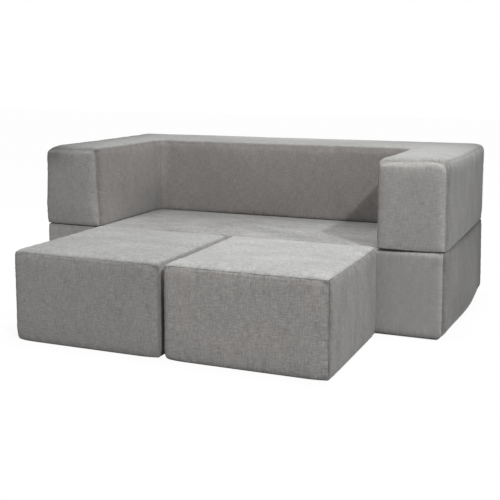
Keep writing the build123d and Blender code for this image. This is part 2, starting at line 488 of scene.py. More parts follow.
def set_number(piece: bpy.types.Object, name: str, values: np.ndarray) -> None:
    """Stores a number on every vertex of a piece."""
    made = piece.data.attributes.new(name, "FLOAT", "POINT")
    made.data.foreach_set("value", np.asarray(values, dtype=np.float32))


def arch(share: np.ndarray, power: float = 2.6) -> np.ndarray:
    """A bow from 0 at both ends to 1 in the middle, flatter than an arc."""
    return 1.0 - np.abs(2.0 * np.clip(share, 0.0, 1.0) - 1.0) ** power


def eased(share: np.ndarray) -> np.ndarray:
    """A share from 0 to 1 that starts and ends gently."""
    return share * share * (3 - 2 * share)


def falling(points: np.ndarray, place: Triple, reach: "Triple | float") -> np.ndarray:
    """1 at a place, fading with each point's distance from it, to about a third at the reach."""
    away = (points - np.array(place)) / np.array(reach)
    return np.exp(-(away**2).sum(1))


def spaced(
    length: float, cell: float, near: tuple[float, ...] = (0.005, 0.012, 0.021)
) -> np.ndarray:
    """Places along a side, closer together near both its ends.

    Args:
        length: the side's length.
        cell: the widest step.
        near: the first places from each end.

    Returns:
        The places, from 0 to the length.
    """
    first = [step for step in near if step < length / 3]
    middle = length - 2 * first[-1]
    count = max(int(round(middle / cell)), 2)
    inner = [first[-1] + middle * i / count for i in range(1, count)]
    return np.array([0.0, *first, *inner, *(length - step for step in reversed(first)), length])


@dataclass(frozen=True)
class Ridge:
    """A long edge rounded by use: the two axes it lies between, and its place and facing on them.

    The radius says how far it is rounded, and the rear where it ends along Y.
    """

    axes: tuple[int, int]
    place: Pair
    outwards: Pair
    radius: float
    rear: float = 1.0


@dataclass(frozen=True)
class Push:
    """A place where the filling stands out or has sunk: its middle, its reach and the shift."""

    place: Triple
    reach: Triple
    shift: Triple


@dataclass(frozen=True)
class Swell:
    """How far one side panel stands out: along its seams, and in its middle."""

    at_seam: float = 0.0
    in_middle: float = 0.0


@dataclass(frozen=True)
class NapAndLight:
    """How one panel's pile lies, and the light and shade painted on it.

    Its brightness, which is partly its nap and partly painted light and shade for how the light
    falls on that side, how warm it looks, its marks across and upwards, and how coarse it is.
    """

    tone: float
    warmth: float
    across: float
    upwards: float
    grain: float


@dataclass(frozen=True)
class PaintedLight:
    """A patch of painted light or shade on a cover: its middle, its reach each way, the change of
    brightness.

    It is on every body that it reaches, unless it names one.
    """

    place: Triple
    reach: Triple
    change: float
    body: str = ""


# Each panel's tone is partly its nap and partly painted light and shade: tops, fronts, sides, inner
# faces and the rear panel are made lighter or darker for how the light falls on them
NAPS_AND_LIGHT = {
    "seat": NapAndLight(0.77, 0.1, 1.0, 0.0, 2.0),
    "arm top": NapAndLight(0.75, 0.0, 0.38, 0.0, 1.1),
    "left ottoman top": NapAndLight(0.97, 0.0, 0.55, 0.0, 1.6),
    "right ottoman top": NapAndLight(1.17, 0.0, 0.42, 0.0, 1.6),
    "left ottoman front": NapAndLight(1.03, 0.45, 0.1, 0.1, 1.25),
    "right ottoman front": NapAndLight(1.18, 0.6, 0.1, 0.1, 1.45),
    "ottoman side": NapAndLight(0.84, 0.3, 0.1, 0.7, 1.4),
    "between ottomans": NapAndLight(0.98, 0.3, 0.1, 0.3, 1.0),
    "left arm": NapAndLight(1.06, 0.3, 0.1, 0.1, 1.0),
    "right arm": NapAndLight(1.25, 0.4, 0.05, 0.05, 1.0),
    "arm inner": NapAndLight(0.56, 0.85, 0.1, 0.2, 1.2),
    "back": NapAndLight(0.81, 1.0, 0.08, 0.1, 0.95),
    "base front": NapAndLight(1.24, 0.4, 0.0, 0.0, 0.55),
    "side": NapAndLight(0.66, 0.15, 0.0, 0.8, 1.3),
    "base side": NapAndLight(0.50, 0.2, 0.1, 0.8, 1.3),
    "rear panel": NapAndLight(1.25, 0.3, 0.1, 0.4, 1.0),
}

# Painted light and shade: places on the covers made lighter or darker in colour, such as shade in
# crevices and gaps and light along edges
PAINTED_LIGHTS = (
    # painted shade on the seat in front of the back
    PaintedLight((0.0, 0.06, 0.295), (9.0, 0.16, 0.03), -0.40, "base"),
    PaintedLight((-0.73, -0.10, 0.575), (0.08, 0.60, 0.06), -0.52),
    PaintedLight((-0.56, 0.05, 0.585), (0.06, 0.35, 0.04), 0.08),
    PaintedLight((-0.62, -0.36, 0.585), (0.15, 0.12, 0.04), -0.10),
    PaintedLight((0.0, 0.32, 0.585), (0.45, 0.13, 0.04), 0.32),
    PaintedLight((0.64, -0.20, 0.585), (0.20, 0.40, 0.04), 0.38),
    PaintedLight((0.66, 0.36, 0.585), (0.25, 0.14, 0.04), -0.26),
    PaintedLight((0.75, -0.36, 0.14), (0.018, 0.26, 0.18), 0.36),
    # painted shade towards the rear of the base's right side
    PaintedLight((0.75, 0.38, 0.14), (0.05, 0.16, 0.20), -0.72),
    # painted light on the base's top front edge under the right arm
    PaintedLight((0.64, -0.372, 0.283), (0.22, 0.03, 0.008), 0.80),
    PaintedLight((0.0, -0.34, 0.295), (0.45, 0.08, 0.03), 0.07),
    PaintedLight((0.75, -0.34, 0.45), (0.022, 0.28, 0.18), 0.22),
    PaintedLight((0.75, 0.35, 0.45), (0.05, 0.20, 0.18), -0.14),
    # painted shade low on the left arm's inner face near the back
    PaintedLight((-0.52, 0.07, 0.31), (0.05, 0.22, 0.13), -0.30),
    PaintedLight((-0.52, -0.34, 0.31), (0.05, 0.15, 0.10), 0.14),
    PaintedLight((-0.48, 0.09, 0.39), (0.10, 0.04, 0.15), 0.14),
    PaintedLight((0.18, -0.05, 0.295), (0.16, 0.30, 0.03), 0.16),
    PaintedLight((0.31, 0.03, 0.295), (0.06, 0.12, 0.03), -0.15),
    # painted shade in the gap between the ottomans
    PaintedLight((0.0, -0.70, 0.11), (0.010, 0.25, 0.25), -0.55),
    PaintedLight((-0.53, -0.37, 0.44), (0.02, 0.02, 0.20), -0.11),
    PaintedLight((0.53, -0.42, 0.12), (0.03, 0.08, 0.20), -0.08),
    # painted shade in the crevices where the arms and the back meet the seat
    PaintedLight((-0.524, -0.06, 0.2903), (0.012, 0.45, 0.0036), -0.90, "back_and_arms"),
    PaintedLight((0.0, 0.095, 0.2903), (0.50, 0.02, 0.0045), -0.90, "back_and_arms"),
)


@dataclass
class Cover:
    """A stuffed cover: its plan, its heights, and how its panels swell."""

    prefix: str
    body: str
    plan: list[Pair]
    low: float
    high: float
    swells: list[Swell]
    crown: float
    zip_height: float
    zip_length: float
    rear: float
    seed: int
    top_nap: NapAndLight
    naps: list[NapAndLight]
    more_foam: tuple[str, ...] = ()
    zip_middle: float = 0.0
    cell: float = 0.0125
    edge: float = 0.0075
    top_round: float = 0.0150
    low_round: float = 0.0050
    shoulder: float = 0.0020
    shoulder_reach: float = 0.014
    arc_steps: int = 8
    seam_depth: float = 0.0008
    top_pull: float = 0.0012
    low_pull: float = 0.0020
    top_reach: float = 0.018
    low_reach: float = 0.032
    unevenness: float = 0.0011
    broad_scale: float = 5.0
    small_scale: float = 17.0
    small_share: float = 0.35
    wall_bow: float = 2.2
    crown_bow: float = 2.4
    crown_reach: float = 0.11
    crown_area: tuple[float, float, float, float] | None = None
    well_depth: float = 0.0056
    well_floor: float = 0.0122
    well_rim: float = 0.0170
    well_end: float = 0.034
    well_slope: float = 0.014
    well_rings: tuple[float, ...] = (0.006, 0.0126, 0.0148, 0.017)
    wall_rings: tuple[float, ...] = (0.004, 0.010, 0.018)
    well_band: float = 0.003
    inner_radius: float = 0.036
    inner_reach: float = 1.7
    inner_share: float = 0.30
    inner_fade: float = 0.05
    held_floor: float = 0.002
    held_rear: float = 0.008
    settle_cap: float = 0.0015
    fill: float = 0.95
    room_front: float = -1.0
    lid: float = 1.0
    seams_seen: float = 1.0
    blending: int = 14
    ridges: tuple[Ridge, ...] = ()
    pushes: tuple[Push, ...] = ()
    points: np.ndarray = field(default_factory=lambda: np.zeros((0, 3)))

    def build(self) -> bpy.types.Object:
        """Makes the cover's mesh, with its seams, map and attributes.

        Returns:
            The cover.
        """
        self._lay_grid()
        self._lay_loop()
        self._lay_rings()
        self._lay_faces()
        self._swell()
        piece = new_mesh(f"{self.prefix}_cover_shape", self.points, self.faces, VELOUR)
        set_map(piece, self._cloth_map())
        numbers = dict(zip(SEAM_GAPS, self._seam_gaps())) | self._pile()
        numbers["seams"] = np.full(len(self.points), self.seams_seen)
        for name, values in numbers.items():
            set_number(piece, name, values)
        return piece

    # the plan's grid, inside the rounded edges

    def _lay_grid(self) -> None:
        """Divides the flat part of the top into cells, on lines that all sides share."""
        self.inset = self._inset_plan()
        self.x_lines, self.y_lines = (self._lines([p[axis] for p in self.inset]) for axis in (0, 1))
        mid_x = (self.x_lines[1:] + self.x_lines[:-1]) / 2
        mid_y = (self.y_lines[1:] + self.y_lines[:-1]) / 2
        self.cells = np.array([[self._inside(x, y) for y in mid_y] for x in mid_x])

    def _lines(self, breaks: list[float]) -> np.ndarray:
        """Grid lines that pass through the given places.

        Args:
            breaks: the places.

        Returns:
            The lines' places in order.
        """
        places = sorted(set(round(b, 6) for b in breaks))
        spans = [a + spaced(b - a, self.cell)[:-1] for a, b in zip(places, places[1:])]
        return np.concatenate([*spans, [places[-1]]])

    def _corners(self) -> list[tuple[float, float, np.ndarray, np.ndarray]]:
        """Each corner of the plan, with the directions of the sides before and after it.

        Returns:
            Rows of X, Y and the two directions.
        """
        found = []
        for i, (x, y) in enumerate(self.plan):
            before, after = self.plan[i - 1], self.plan[(i + 1) % len(self.plan)]
            arriving = np.sign([x - before[0], y - before[1]])
            found.append((x, y, arriving, np.sign([after[0] - x, after[1] - y])))
        return found

    def _inset_plan(self) -> list[Pair]:
        """The plan's corners moved inwards by the edge along both sides.

        Returns:
            The moved corners.
        """
        return [
            (x + self.edge * (-a[1] - b[1]), y + self.edge * (a[0] + b[0]))
            for x, y, a, b in self._corners()
        ]

    def _inside(self, x: float, y: float) -> bool:
        """Whether a point is inside the inset plan.

        Args:
            x: its place along X.
            y: its place along Y.

        Returns:
            True inside.
        """
        inside = False
        for (ax, ay), (bx, by) in zip(self.inset, self.inset[1:] + self.inset[:1]):
            if (ay > y) != (by > y) and x < ax + (y - ay) * (bx - ax) / (by - ay):
                inside = not inside
        return inside

    # the loop round the grid, with the corners' arcs

    def _lay_loop(self) -> None:
        """Lists the loop's stations: the grid vertex, the reach out, the side and the arc's step.

        The step counts from the seam in the middle of a corner's arc, and is None on the sides.
        """
        inset, steps = self.inset, self.arc_steps
        count = len(inset)
        stations = []
        for i in range(count):
            start, end = np.array(inset[i]), np.array(inset[(i + 1) % count])
            along, arriving = np.sign(end - start), np.sign(start - np.array(inset[i - 1]))
            normal = np.array([along[1], -along[0]])
            from_normal = np.array([arriving[1], -arriving[0]])
            if arriving[0] * along[1] - arriving[1] * along[0] > 0:
                for k in range(steps + 1):
                    angle = math.pi / 2 * k / steps
                    reach = math.cos(angle) * from_normal + math.sin(angle) * normal
                    side = (i - 1) % count if k < steps / 2 else i
                    stations.append((start, reach, side, k - steps / 2))
            else:
                stations.append((start, from_normal + normal, i, 0))
            stations += [(place, normal, i, None) for place in self._places_between(start, end)]
        self.bases = np.array([s[0] for s in stations])
        self.reaches = np.array([s[1] for s in stations]) * self.edge
        self.sides = np.array([s[2] for s in stations])
        self.arcs = [s[3] for s in stations]
        outline = self.bases + self.reaches
        lengths = np.linalg.norm(np.roll(outline, -1, 0) - outline, axis=1)
        self.run = np.concatenate([[0.0], np.cumsum(lengths)[:-1]])
        self.girth = float(lengths.sum())
        seams = sorted(r for r, arc in zip(self.run, self.arcs) if arc == 0)
        half = self.girth / 2
        gaps = [np.abs((self.run - s + half) % self.girth - half) for s in seams]
        self.seam_run = np.min(gaps, axis=0)
        self.side_share = self._shares_along_sides(seams)

    def _places_between(self, start: np.ndarray, end: np.ndarray) -> list[np.ndarray]:
        """The grid's vertices strictly between two corners of the loop.

        Args:
            start: the first corner.
            end: the corner after it.

        Returns:
            The vertices' places, from the start on.
        """
        level = int(abs(end[1] - start[1]) > abs(end[0] - start[0]))
        lines = self.y_lines if level else self.x_lines
        low, high = sorted((start[level], end[level]))
        chosen = lines[(lines > low + 1e-6) & (lines < high - 1e-6)]
        if end[level] < start[level]:
            chosen = chosen[::-1]
        return [np.array([start[0], c]) if level else np.array([c, start[1]]) for c in chosen]

    def _shares_along_sides(self, seams: list[float]) -> np.ndarray:
        """How far along its panel each station is, from 0 at one seam to 1 at the next.

        Args:
            seams: the seams' places on the loop, in order.

        Returns:
            A share for each station.
        """
        share = np.zeros(len(self.run))
        for i, r in enumerate(self.run):
            before = max([s for s in seams if s <= r + 1e-9], default=seams[-1] - self.girth)
            after = min([s for s in seams if s > r + 1e-9], default=seams[0] + self.girth)
            share[i] = (r - before) / (after - before)
        return share

    # rings from the top's edge to the bottom's edge

    def _levels(self) -> np.ndarray:
        """The heights of the straight part of the wall, closer together beside the zip.

        Returns:
            The heights, from the top down.
        """
        low, high = self.low + self.low_round, self.high - self.top_round
        ends = (round(low, 6), round(high, 6))
        levels = set(np.round(low + spaced(high - low, self.cell, self.wall_rings), 6))
        offsets = (*(-ring for ring in self.well_rings), 0.0, *self.well_rings)
        near = np.round(self.zip_height + np.array(offsets), 6)
        clear = max(self.well_rings) + 0.004
        kept = {z for z in levels if abs(z - self.zip_height) > clear or z in ends}
        return np.array(sorted(kept | set(near), reverse=True))

    def _lay_rings(self) -> None:
        """Places the vertices: the top's grid, the wall's rings and the bottom's grid.

        The profile holds each ring's share of the reach, its height, and its angle on an edge.
        """
        used = np.zeros((len(self.x_lines), len(self.y_lines)), bool)
        nx, ny = self.cells.shape
        for dx in (0, 1):
            for dy in (0, 1):
                used[dx : nx + dx, dy : ny + dy] |= self.cells
        self.numbers = -np.ones(used.shape, int)
        self.numbers[used] = np.arange(used.sum())
        i, j = np.nonzero(used)
        self.flat = np.column_stack([self.x_lines[i], self.y_lines[j]])
        find = {(round(x, 5), round(y, 5)): k for k, (x, y) in enumerate(self.flat)}
        self.loop = np.array([find[(round(x, 5), round(y, 5))] for x, y in self.bases])

        angles = [math.pi / 2 * k / self.arc_steps for k in range(1, self.arc_steps + 1)]
        top, low = self.top_round, self.low_round
        self.profile = [(math.sin(a), self.high - top * (1 - math.cos(a)), a) for a in angles]
        self.profile += [(1.0, z, None) for z in self._levels()[1:-1]]
        angles.reverse()
        self.profile += [(math.sin(a), self.low + low * (1 - math.cos(a)), -a) for a in angles]
        rings = [
            np.column_stack([self.bases + self.reaches * out, np.full(len(self.bases), z)])
            for out, z, _ in self.profile
        ]
        caps = [
            np.column_stack([self.flat, np.full(len(self.flat), z)]) for z in (self.high, self.low)
        ]
        self.points = np.concatenate([caps[0], *rings, caps[1]])
        self.ring_size = len(self.loop)
        self.first_ring = len(self.flat)
        self.last_cap = self.first_ring + len(rings) * self.ring_size

    def _lay_faces(self) -> None:
        """Joins the vertices in one closed mesh, and notes which panel each face is on."""
        self.faces, self.kinds, self.face_naps = [], [], []
        size, last, steps = self.ring_size, self.last_cap, self.arc_steps
        for i, j in zip(*np.nonzero(self.cells)):
            quad = self.numbers[[i, i + 1, i + 1, i], [j, j, j + 1, j + 1]]
            self.faces += [tuple(quad), tuple(last + quad[::-1])]
            self.kinds += [0, 2]
            self.face_naps += [self.top_nap, self.top_nap]
        rings = [self.first_ring + k * size + np.arange(size) for k in range(len(self.profile))]
        rows = [self.loop, *rings, last + self.loop]
        half = steps // 2
        for row, (upper, lower) in enumerate(zip(rows, rows[1:])):
            kind = 0 if row < half else (2 if row >= len(rows) - 1 - half else 1)
            for k in range(size):
                n = (k + 1) % size
                corners = [int(upper[k]), int(lower[k]), int(lower[n]), int(upper[n])]
                corners = [c for m, c in enumerate(corners) if c not in corners[:m]]
                if len(corners) > 2:
                    self.faces.append(tuple(corners))
                    self.kinds.append(kind)
                    nap = self.naps[self.sides[k]] if kind == 1 else self.top_nap
                    self.face_naps.append(nap)

    # the stuffed shape

    def _swell(self) -> None:
        """Bows the sides, crowns the top, draws in corners and seams, and presses the well."""
        rows = len(self.profile)
        out, heights = (
            np.repeat([ring[k] for ring in self.profile], self.ring_size) for k in (0, 1)
        )
        share, side = np.tile(self.side_share, rows), np.tile(self.sides, rows)
        up = (heights - self.low) / (self.high - self.low)
        walls = slice(self.first_ring, self.last_cap)
        seam_rise = np.array([s.at_seam for s in self.swells])[side]
        middle_rise = np.array([s.in_middle for s in self.swells])[side]
        unit = self.reaches / np.maximum(np.linalg.norm(self.reaches, axis=1, keepdims=True), 1e-9)
        bow = arch(share) * (seam_rise + (middle_rise - seam_rise) * arch(up, self.wall_bow)) * out
        self.points[walls, :2] += np.tile(unit, (rows, 1)) * bow[:, None]
        top = self.points[: self.first_ring]
        inside = self._edge_distance(top) - self.edge
        slope = np.clip(inside / self.shoulder_reach, 0, 1)
        top[:, 2] += self._crown_height(top, inside) - self.shoulder * (1 - slope) ** 2
        edge = self.points[self.first_ring : self.first_ring + self.arc_steps * self.ring_size]
        edge[:, 2] -= self.shoulder * (edge[:, 2] - self.high + self.top_round) / self.top_round
        self._round_inner_corners()
        self._draw_in_corners()
        self._round_ridges()
        for push in self.pushes:
            near = falling(self.points, push.place, push.reach)
            self.points += near[:, None] * np.array(push.shift)
        self._sink_seams()
        self._roughen()
        self.points = self._kept_in_room(self.points)
        self._press_well()

    def _edge_distance(self, points: np.ndarray) -> np.ndarray:
        """The distance of points in the plan from its nearest side.

        Args:
            points: the points.

        Returns:
            A distance for each.
        """
        nearest = np.full(len(points), 1e9)
        for a, b in zip(map(np.array, self.plan), map(np.array, self.plan[1:] + self.plan[:1])):
            t = np.clip(((points[:, :2] - a) @ (b - a)) / ((b - a) @ (b - a)), 0, 1)
            away = np.linalg.norm(points[:, :2] - (a + t[:, None] * (b - a)), axis=1)
            nearest = np.minimum(nearest, away)
        return nearest

    def _crown_height(self, points: np.ndarray, inside: np.ndarray) -> np.ndarray:
        """How far the top stands above its seams.

        Args:
            points: the top's vertices.
            inside: their distance from the rounded edge.

        Returns:
            The heights.
        """
        if self.crown_area:
            x_low, x_high, y_low, y_high = self.crown_area
            across = (points[:, 0] - x_low) / (x_high - x_low)
            back = (points[:, 1] - y_low) / (y_high - y_low)
            bow = self.crown_bow
            return self.crown * arch(across, bow) * arch(back, bow)
        depth = np.clip(inside / self.crown_reach, 0, 1)
        return self.crown * depth * (2 - depth)

    def _draw_in_corners(self) -> None:
        """Pulls each corner where three seams meet towards the middle of the block."""
        ends = (
            (self.high, 1.0, self.top_reach, self.top_pull),
            (self.low, -1.0, self.low_reach, self.low_pull),
        )
        for x, y, a, b in self._corners():
            if a[0] * b[1] - a[1] * b[0] > 0:
                for z, out_z, reach, pull in ends:
                    near = falling(self.points, (x, y, z), reach)
                    outwards = np.array([a[1] + b[1], -a[0] - b[0], out_z])
                    self.points -= near[:, None] * pull * outwards

    def _round_inner_corners(self) -> None:
        """Softens the corners where the back's front meets the arms."""
        radius = self.inner_radius
        for x, y, a, b in self._corners():
            if a[0] * b[1] - a[1] * b[0] > 0:
                continue
            facing = np.array([-np.sign(x), -1.0])
            local = (self.points[:, :2] - np.array([x, y])) * facing
            u = np.maximum(local, 0).sum(1)
            depth = np.hypot(*np.minimum(local, 0).T)
            turned = np.clip(1 - u / (self.inner_reach * radius), 0, 1) ** 2
            fade = np.exp(-depth / self.inner_fade)
            fade[(local > 1e-4).all(1)] = 1.0
            shift = self.inner_share * radius * turned * fade
            self.points[:, :2] += shift[:, None] * facing

    def _round_ridges(self) -> None:
        """Turns the tight long edges that are named as ridges into wide round ones."""
        for ridge in self.ridges:
            radius, tight, axes = ridge.radius, self.edge, list(ridge.axes)
            outwards = np.array(ridge.outwards)
            reach = math.sqrt(2) * radius / (math.sqrt(2) * (radius - tight) + tight)
            power = math.log(2) / math.log(reach)
            local = (self.points[:, axes] - np.array(ridge.place)) * outwards + radius
            held = ((local > 0) & (local < 2 * radius)).all(1)
            local = local[held]
            length = np.linalg.norm(local, axis=1)
            drawn = ((local / length[:, None]) ** power).sum(1) ** (1 / power)
            drawn = np.minimum(np.maximum(drawn, radius / length), 1) - 1
            drawn *= np.clip((ridge.rear - self.points[held, 1]) / radius, 0, 1)
            for k, axis in enumerate(axes):
                self.points[held, axis] += local[:, k] * drawn * outwards[k]

    def _normals(self) -> np.ndarray:
        """Outward directions of the vertices.

        Returns:
            A unit vector for each.
        """
        mesh = bpy.data.meshes.new("trial")
        mesh.from_pydata([tuple(p) for p in self.points], [], self.faces)
        mesh.update()
        normals = np.zeros(len(self.points) * 3)
        mesh.vertex_normals.foreach_get("vector", normals)
        bpy.data.meshes.remove(mesh)
        return normals.reshape(-1, 3)

    def _sink_seams(self) -> None:
        """Draws the seams' own vertices a little into the foam."""
        half, size = self.arc_steps // 2 - 1, self.ring_size
        upper = self.first_ring + half * size
        lower = self.first_ring + (len(self.profile) - 1 - half) * size
        self.sunk = np.zeros(len(self.points), bool)
        for start in (upper, lower):
            self.sunk[start : start + size] = True
        for k, arc in enumerate(self.arcs):
            if arc == 0:
                self.sunk[upper + k : lower + size : size] = True
        depth = self.seam_depth * self.seams_seen
        self.points[self.sunk] -= self._normals()[self.sunk] * depth

    def _roughen(self) -> None:
        """Makes the faces uneven, except where they rest on the floor or stand at the rear."""
        normals = self._normals()
        shift = Vector([self.seed * step for step in SEED_STEP])
        for i, (point, normal) in enumerate(zip(self.points, normals)):
            behind = abs(point[1] - self.rear) < REAR_BAND and normal[1] > FACING
            if normal[2] < -FACING or behind:
                continue
            broad = noise.noise(Vector(point) * self.broad_scale + shift)
            small = noise.noise(Vector(point) * self.small_scale + shift)
            self.points[i] += normal * self.unevenness * (broad + self.small_share * small)

    def _press_well(self) -> None:
        """Presses the zip's well into the rear panel."""
        held = self.points[:, 1] > self.rear - self.well_band
        rear = self.points[held]
        beside = np.abs(rear[:, 2] - self.zip_height)
        past = np.abs(rear[:, 0] - self.zip_middle) - self.zip_length / 2
        rim = np.clip((self.well_rim - beside) / (self.well_rim - self.well_floor), 0, 1)
        closed = np.clip((self.well_end - past) / self.well_slope, 0, 1)
        self.points[held, 1] -= self.well_depth * eased(rim) * eased(closed)

    # what the finish reads

    def _pile(self) -> dict[str, np.ndarray]:
        """How the pile lies at every vertex, with its painted light and shade: the mean of its
        panels, changed by the painted light patches.

        Returns:
            A number for each vertex, by the nap's field.
        """
        kinds = list(NapAndLight.__dataclass_fields__)
        sums, counts = np.zeros((len(self.points), len(kinds))), np.zeros(len(self.points))
        for face, nap in zip(self.faces, self.face_naps):
            sums[list(face)] += [getattr(nap, kind) for kind in kinds]
            counts[list(face)] += 1
        means = self._blended(sums / counts[:, None])
        for painted_light in PAINTED_LIGHTS:
            if painted_light.body in ("", self.body):
                means[:, 0] *= 1 + painted_light.change * falling(self.points, painted_light.place, painted_light.reach)
        return dict(zip(kinds, means.T))

    def _blended(self, values: np.ndarray) -> np.ndarray:
        """Values at the vertices, passed on until they change gradually round the edges.

        Args:
            values: a row for each vertex.

        Returns:
            The same rows, changed in place.
        """
        pairs = [(a, b) for face in self.faces for a, b in zip(face, face[1:] + face[:1])]
        start, end = np.array(pairs).T
        count = np.maximum(np.bincount(start, minlength=len(values)), 1)
        for _ in range(self.blending):
            for k in range(values.shape[1]):
                passed = np.bincount(start, values[end, k], len(values)) / count
                values[:, k] = (values[:, k] + passed) / 2
        return values

    def _arc_length(self, row: int) -> float:
        """The distance from the nearer level seam to a ring, along the cloth.

        Args:
            row: the ring's number.

        Returns:
            The distance.
        """
        _, z, angle = self.profile[row]
        if angle is None:
            from_top = self._bend(self.top_round) + self.high - self.top_round - z
            return min(from_top, self._bend(self.low_round) + z - self.low - self.low_round)
        share = abs(abs(angle) * 4 / math.pi - 1)
        return share * self._bend(self.top_round if angle > 0 else self.low_round)

    def _bend(self, height: float) -> float:
        """Half the length of the cloth round an edge of the given height."""
        return (self.edge + height) / 2 * math.pi / 4

    def _seam_gaps(self) -> list[np.ndarray]:
        """The distance of every vertex from the nearest seam along X, along Y and along Z.

        Returns:
            The three sets of distances.
        """
        gap_x, gap_y, gap_z = (np.full(len(self.points), FAR_FROM_SEAM) for _ in range(3))
        levelled = np.abs(self.reaches)
        along_x = levelled[:, 1] >= levelled[:, 0] - 1e-9
        along_y = levelled[:, 0] >= levelled[:, 1] - 1e-9
        rows = len(self.profile)
        half = self.arc_steps // 2 - 1
        for row in range(rows):
            start = self.first_ring + row * self.ring_size
            ring = slice(start, start + self.ring_size)
            distance = self._arc_length(row)
            gap_x[ring][along_x] = distance
            gap_y[ring][along_y] = distance
            if half <= row <= rows - 1 - half:
                gap_z[ring] = np.minimum(self.seam_run, FAR_FROM_SEAM)
        near_x, near_y = self._side_gaps()
        for offset, height in ((0, self.top_round), (self.last_cap, self.low_round)):
            cap = slice(offset, offset + len(self.flat))
            gap_x[cap] = near_x + self._bend(height)
            gap_y[cap] = near_y + self._bend(height)
        return [gap_x, gap_y, gap_z]

    def _side_gaps(self) -> list[np.ndarray]:
        """The caps' distances in the plan from the grid's edge, to sides along X and along Y.

        Returns:
            The two sets of distances.
        """
        gaps = [np.full(len(self.flat), FAR_FROM_SEAM) for _ in range(2)]
        for a, b in zip(self.inset, self.inset[1:] + self.inset[:1]):
            axis = int(abs(b[1] - a[1]) > abs(b[0] - a[0]))
            low, high = sorted((a[axis], b[axis]))
            places = self.flat[:, axis]
            past = np.maximum(np.maximum(low - places, places - high), 0)
            away = np.hypot(self.flat[:, 1 - axis] - a[1 - axis], past)
            gaps[axis] = np.minimum(gaps[axis], away)
        return gaps

    def _cloth_map(self) -> np.ndarray:
        """Where every face corner is on its panel's cloth.

        Returns:
            Places in the plan on the top and the bottom, and girth and height on the walls.
        """
        rows, quarter = len(self.profile), 1.57 / self.arc_steps
        section = np.array([(ring[0] * self.edge, ring[1]) for ring in self.profile])
        steps = np.linalg.norm(np.diff(section, axis=0), axis=1)
        drop = -np.concatenate([[0.0], np.cumsum(steps)])
        walls = slice(self.first_ring, self.last_cap)
        wall_map, top_map, low_map = (np.zeros((len(self.points), 2)) for _ in range(3))
        runs, drops = np.tile(self.run, rows), np.repeat(drop, self.ring_size)
        wall_map[walls] = np.column_stack([runs, drops])
        for cap_map, order in ((top_map, range(1, rows + 1)), (low_map, range(rows, 0, -1))):
            cap_map[: self.first_ring] = cap_map[self.last_cap :] = self.flat
            rings = [self.bases + self.reaches * k * quarter for k in order]
            cap_map[walls] = np.concatenate(rings)
        corners = []
        for face, kind in zip(self.faces, self.kinds):
            places = (top_map, wall_map, low_map)[kind][list(face)]
            if kind == 1 and np.ptp(places[:, 0]) > self.girth / 2:
                places[places[:, 0] < self.girth / 2, 0] += self.girth
            corners.append(places)
        return np.concatenate(corners)

    # the stuffed fabric

    def settle(self, piece: bpy.types.Object) -> None:
        """Lets the cloth settle under the foam's pressure between its seams.

        Args:
            piece: the cover, whose vertices move by no more than the cap.
        """
        rest = self._coordinates(piece.data)
        trial = piece.copy()
        trial.data = piece.data.copy()
        trial.data.materials.clear()
        scene = bpy.context.scene
        scene.collection.objects.link(trial)
        held = trial.vertex_groups.new(name="held")
        resting = rest[:, 2] < self.low + self.held_floor
        fixed = self.sunk | resting | (rest[:, 1] > self.rear - self.held_rear)
        held.add([int(i) for i in np.nonzero(fixed)[0]], 1.0, "REPLACE")
        cloth = trial.modifiers.new("cloth", "CLOTH")
        for key, value in CLOTH_SETTINGS.items():
            setattr(cloth.settings, key, value)
        cloth.settings.effector_weights.gravity = 0.0
        cloth.collision_settings.use_collision = False
        cloth.point_cache.frame_start = 1
        cloth.point_cache.frame_end = SETTLING_FRAMES
        for frame_number in range(1, SETTLING_FRAMES + 1):
            scene.frame_set(frame_number)
        evaluated = trial.evaluated_get(bpy.context.evaluated_depsgraph_get())
        moved = self._coordinates(evaluated.data) - rest
        scene.frame_set(1)
        bpy.data.objects.remove(trial)
        length = np.linalg.norm(moved, axis=1, keepdims=True)
        moved *= np.tanh(length / self.settle_cap) * self.settle_cap / np.maximum(length, 1e-9)
        settled = self._kept_in_room(rest + moved)
        settled[fixed] = rest[fixed]
        piece.data.vertices.foreach_set("co", settled.astype(np.float32).ravel())
        piece.data.update()

    def _kept_in_room(self, points: np.ndarray) -> np.ndarray:
        """Keeps the cover off what it rests on and what rests on it.

        Args:
            points: the cover's vertices.

        Returns:
            The same, clipped at the floor, the front, the rear and the lid.
        """
        points[:, 1] = np.clip(points[:, 1], self.room_front, self.rear)
        points[:, 2] = np.maximum(points[:, 2], self.low)
        if self.crown_area:
            x_low, x_high, _, y_high = self.crown_area
            x, y = points[:, 0], points[:, 1]
            covered = (x < x_low) | (x > x_high) | (y > y_high)
            points[covered, 2] = np.minimum(points[covered, 2], self.lid)
        return points

    @staticmethod
    def _coordinates(mesh: bpy.types.Mesh) -> np.ndarray:
        """A mesh's vertices as rows of numbers.

        Args:
            mesh: the mesh.

        Returns:
            A row for each vertex.
        """
        found = np.zeros(len(mesh.vertices) * 3, dtype=np.float32)
        mesh.vertices.foreach_get("co", found)
        return found.reshape(-1, 3).astype(float)

    def dress(self, piece: bpy.types.Object) -> None:
        """Gives the cover its body, and hides the CAD nodes that it stands for.

        Args:
            piece: the cover's object.
        """
        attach(piece, self.body)
        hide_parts(f"{self.prefix}_cover", f"{self.prefix}_foam", *self.more_foam)


SETTLING_FRAMES = 20
CLOTH_SETTINGS = {
    "quality": 4,
    "mass": 0.3,
    "tension_stiffness": 18.0,
    "compression_stiffness": 8.0,
    "bending_stiffness": 0.8,
    "use_pressure": True,
    "uniform_pressure_force": 4.0,
    "shrink_min": -0.012,
    "vertex_group_mass": "held",
}


# Repeated small pieces

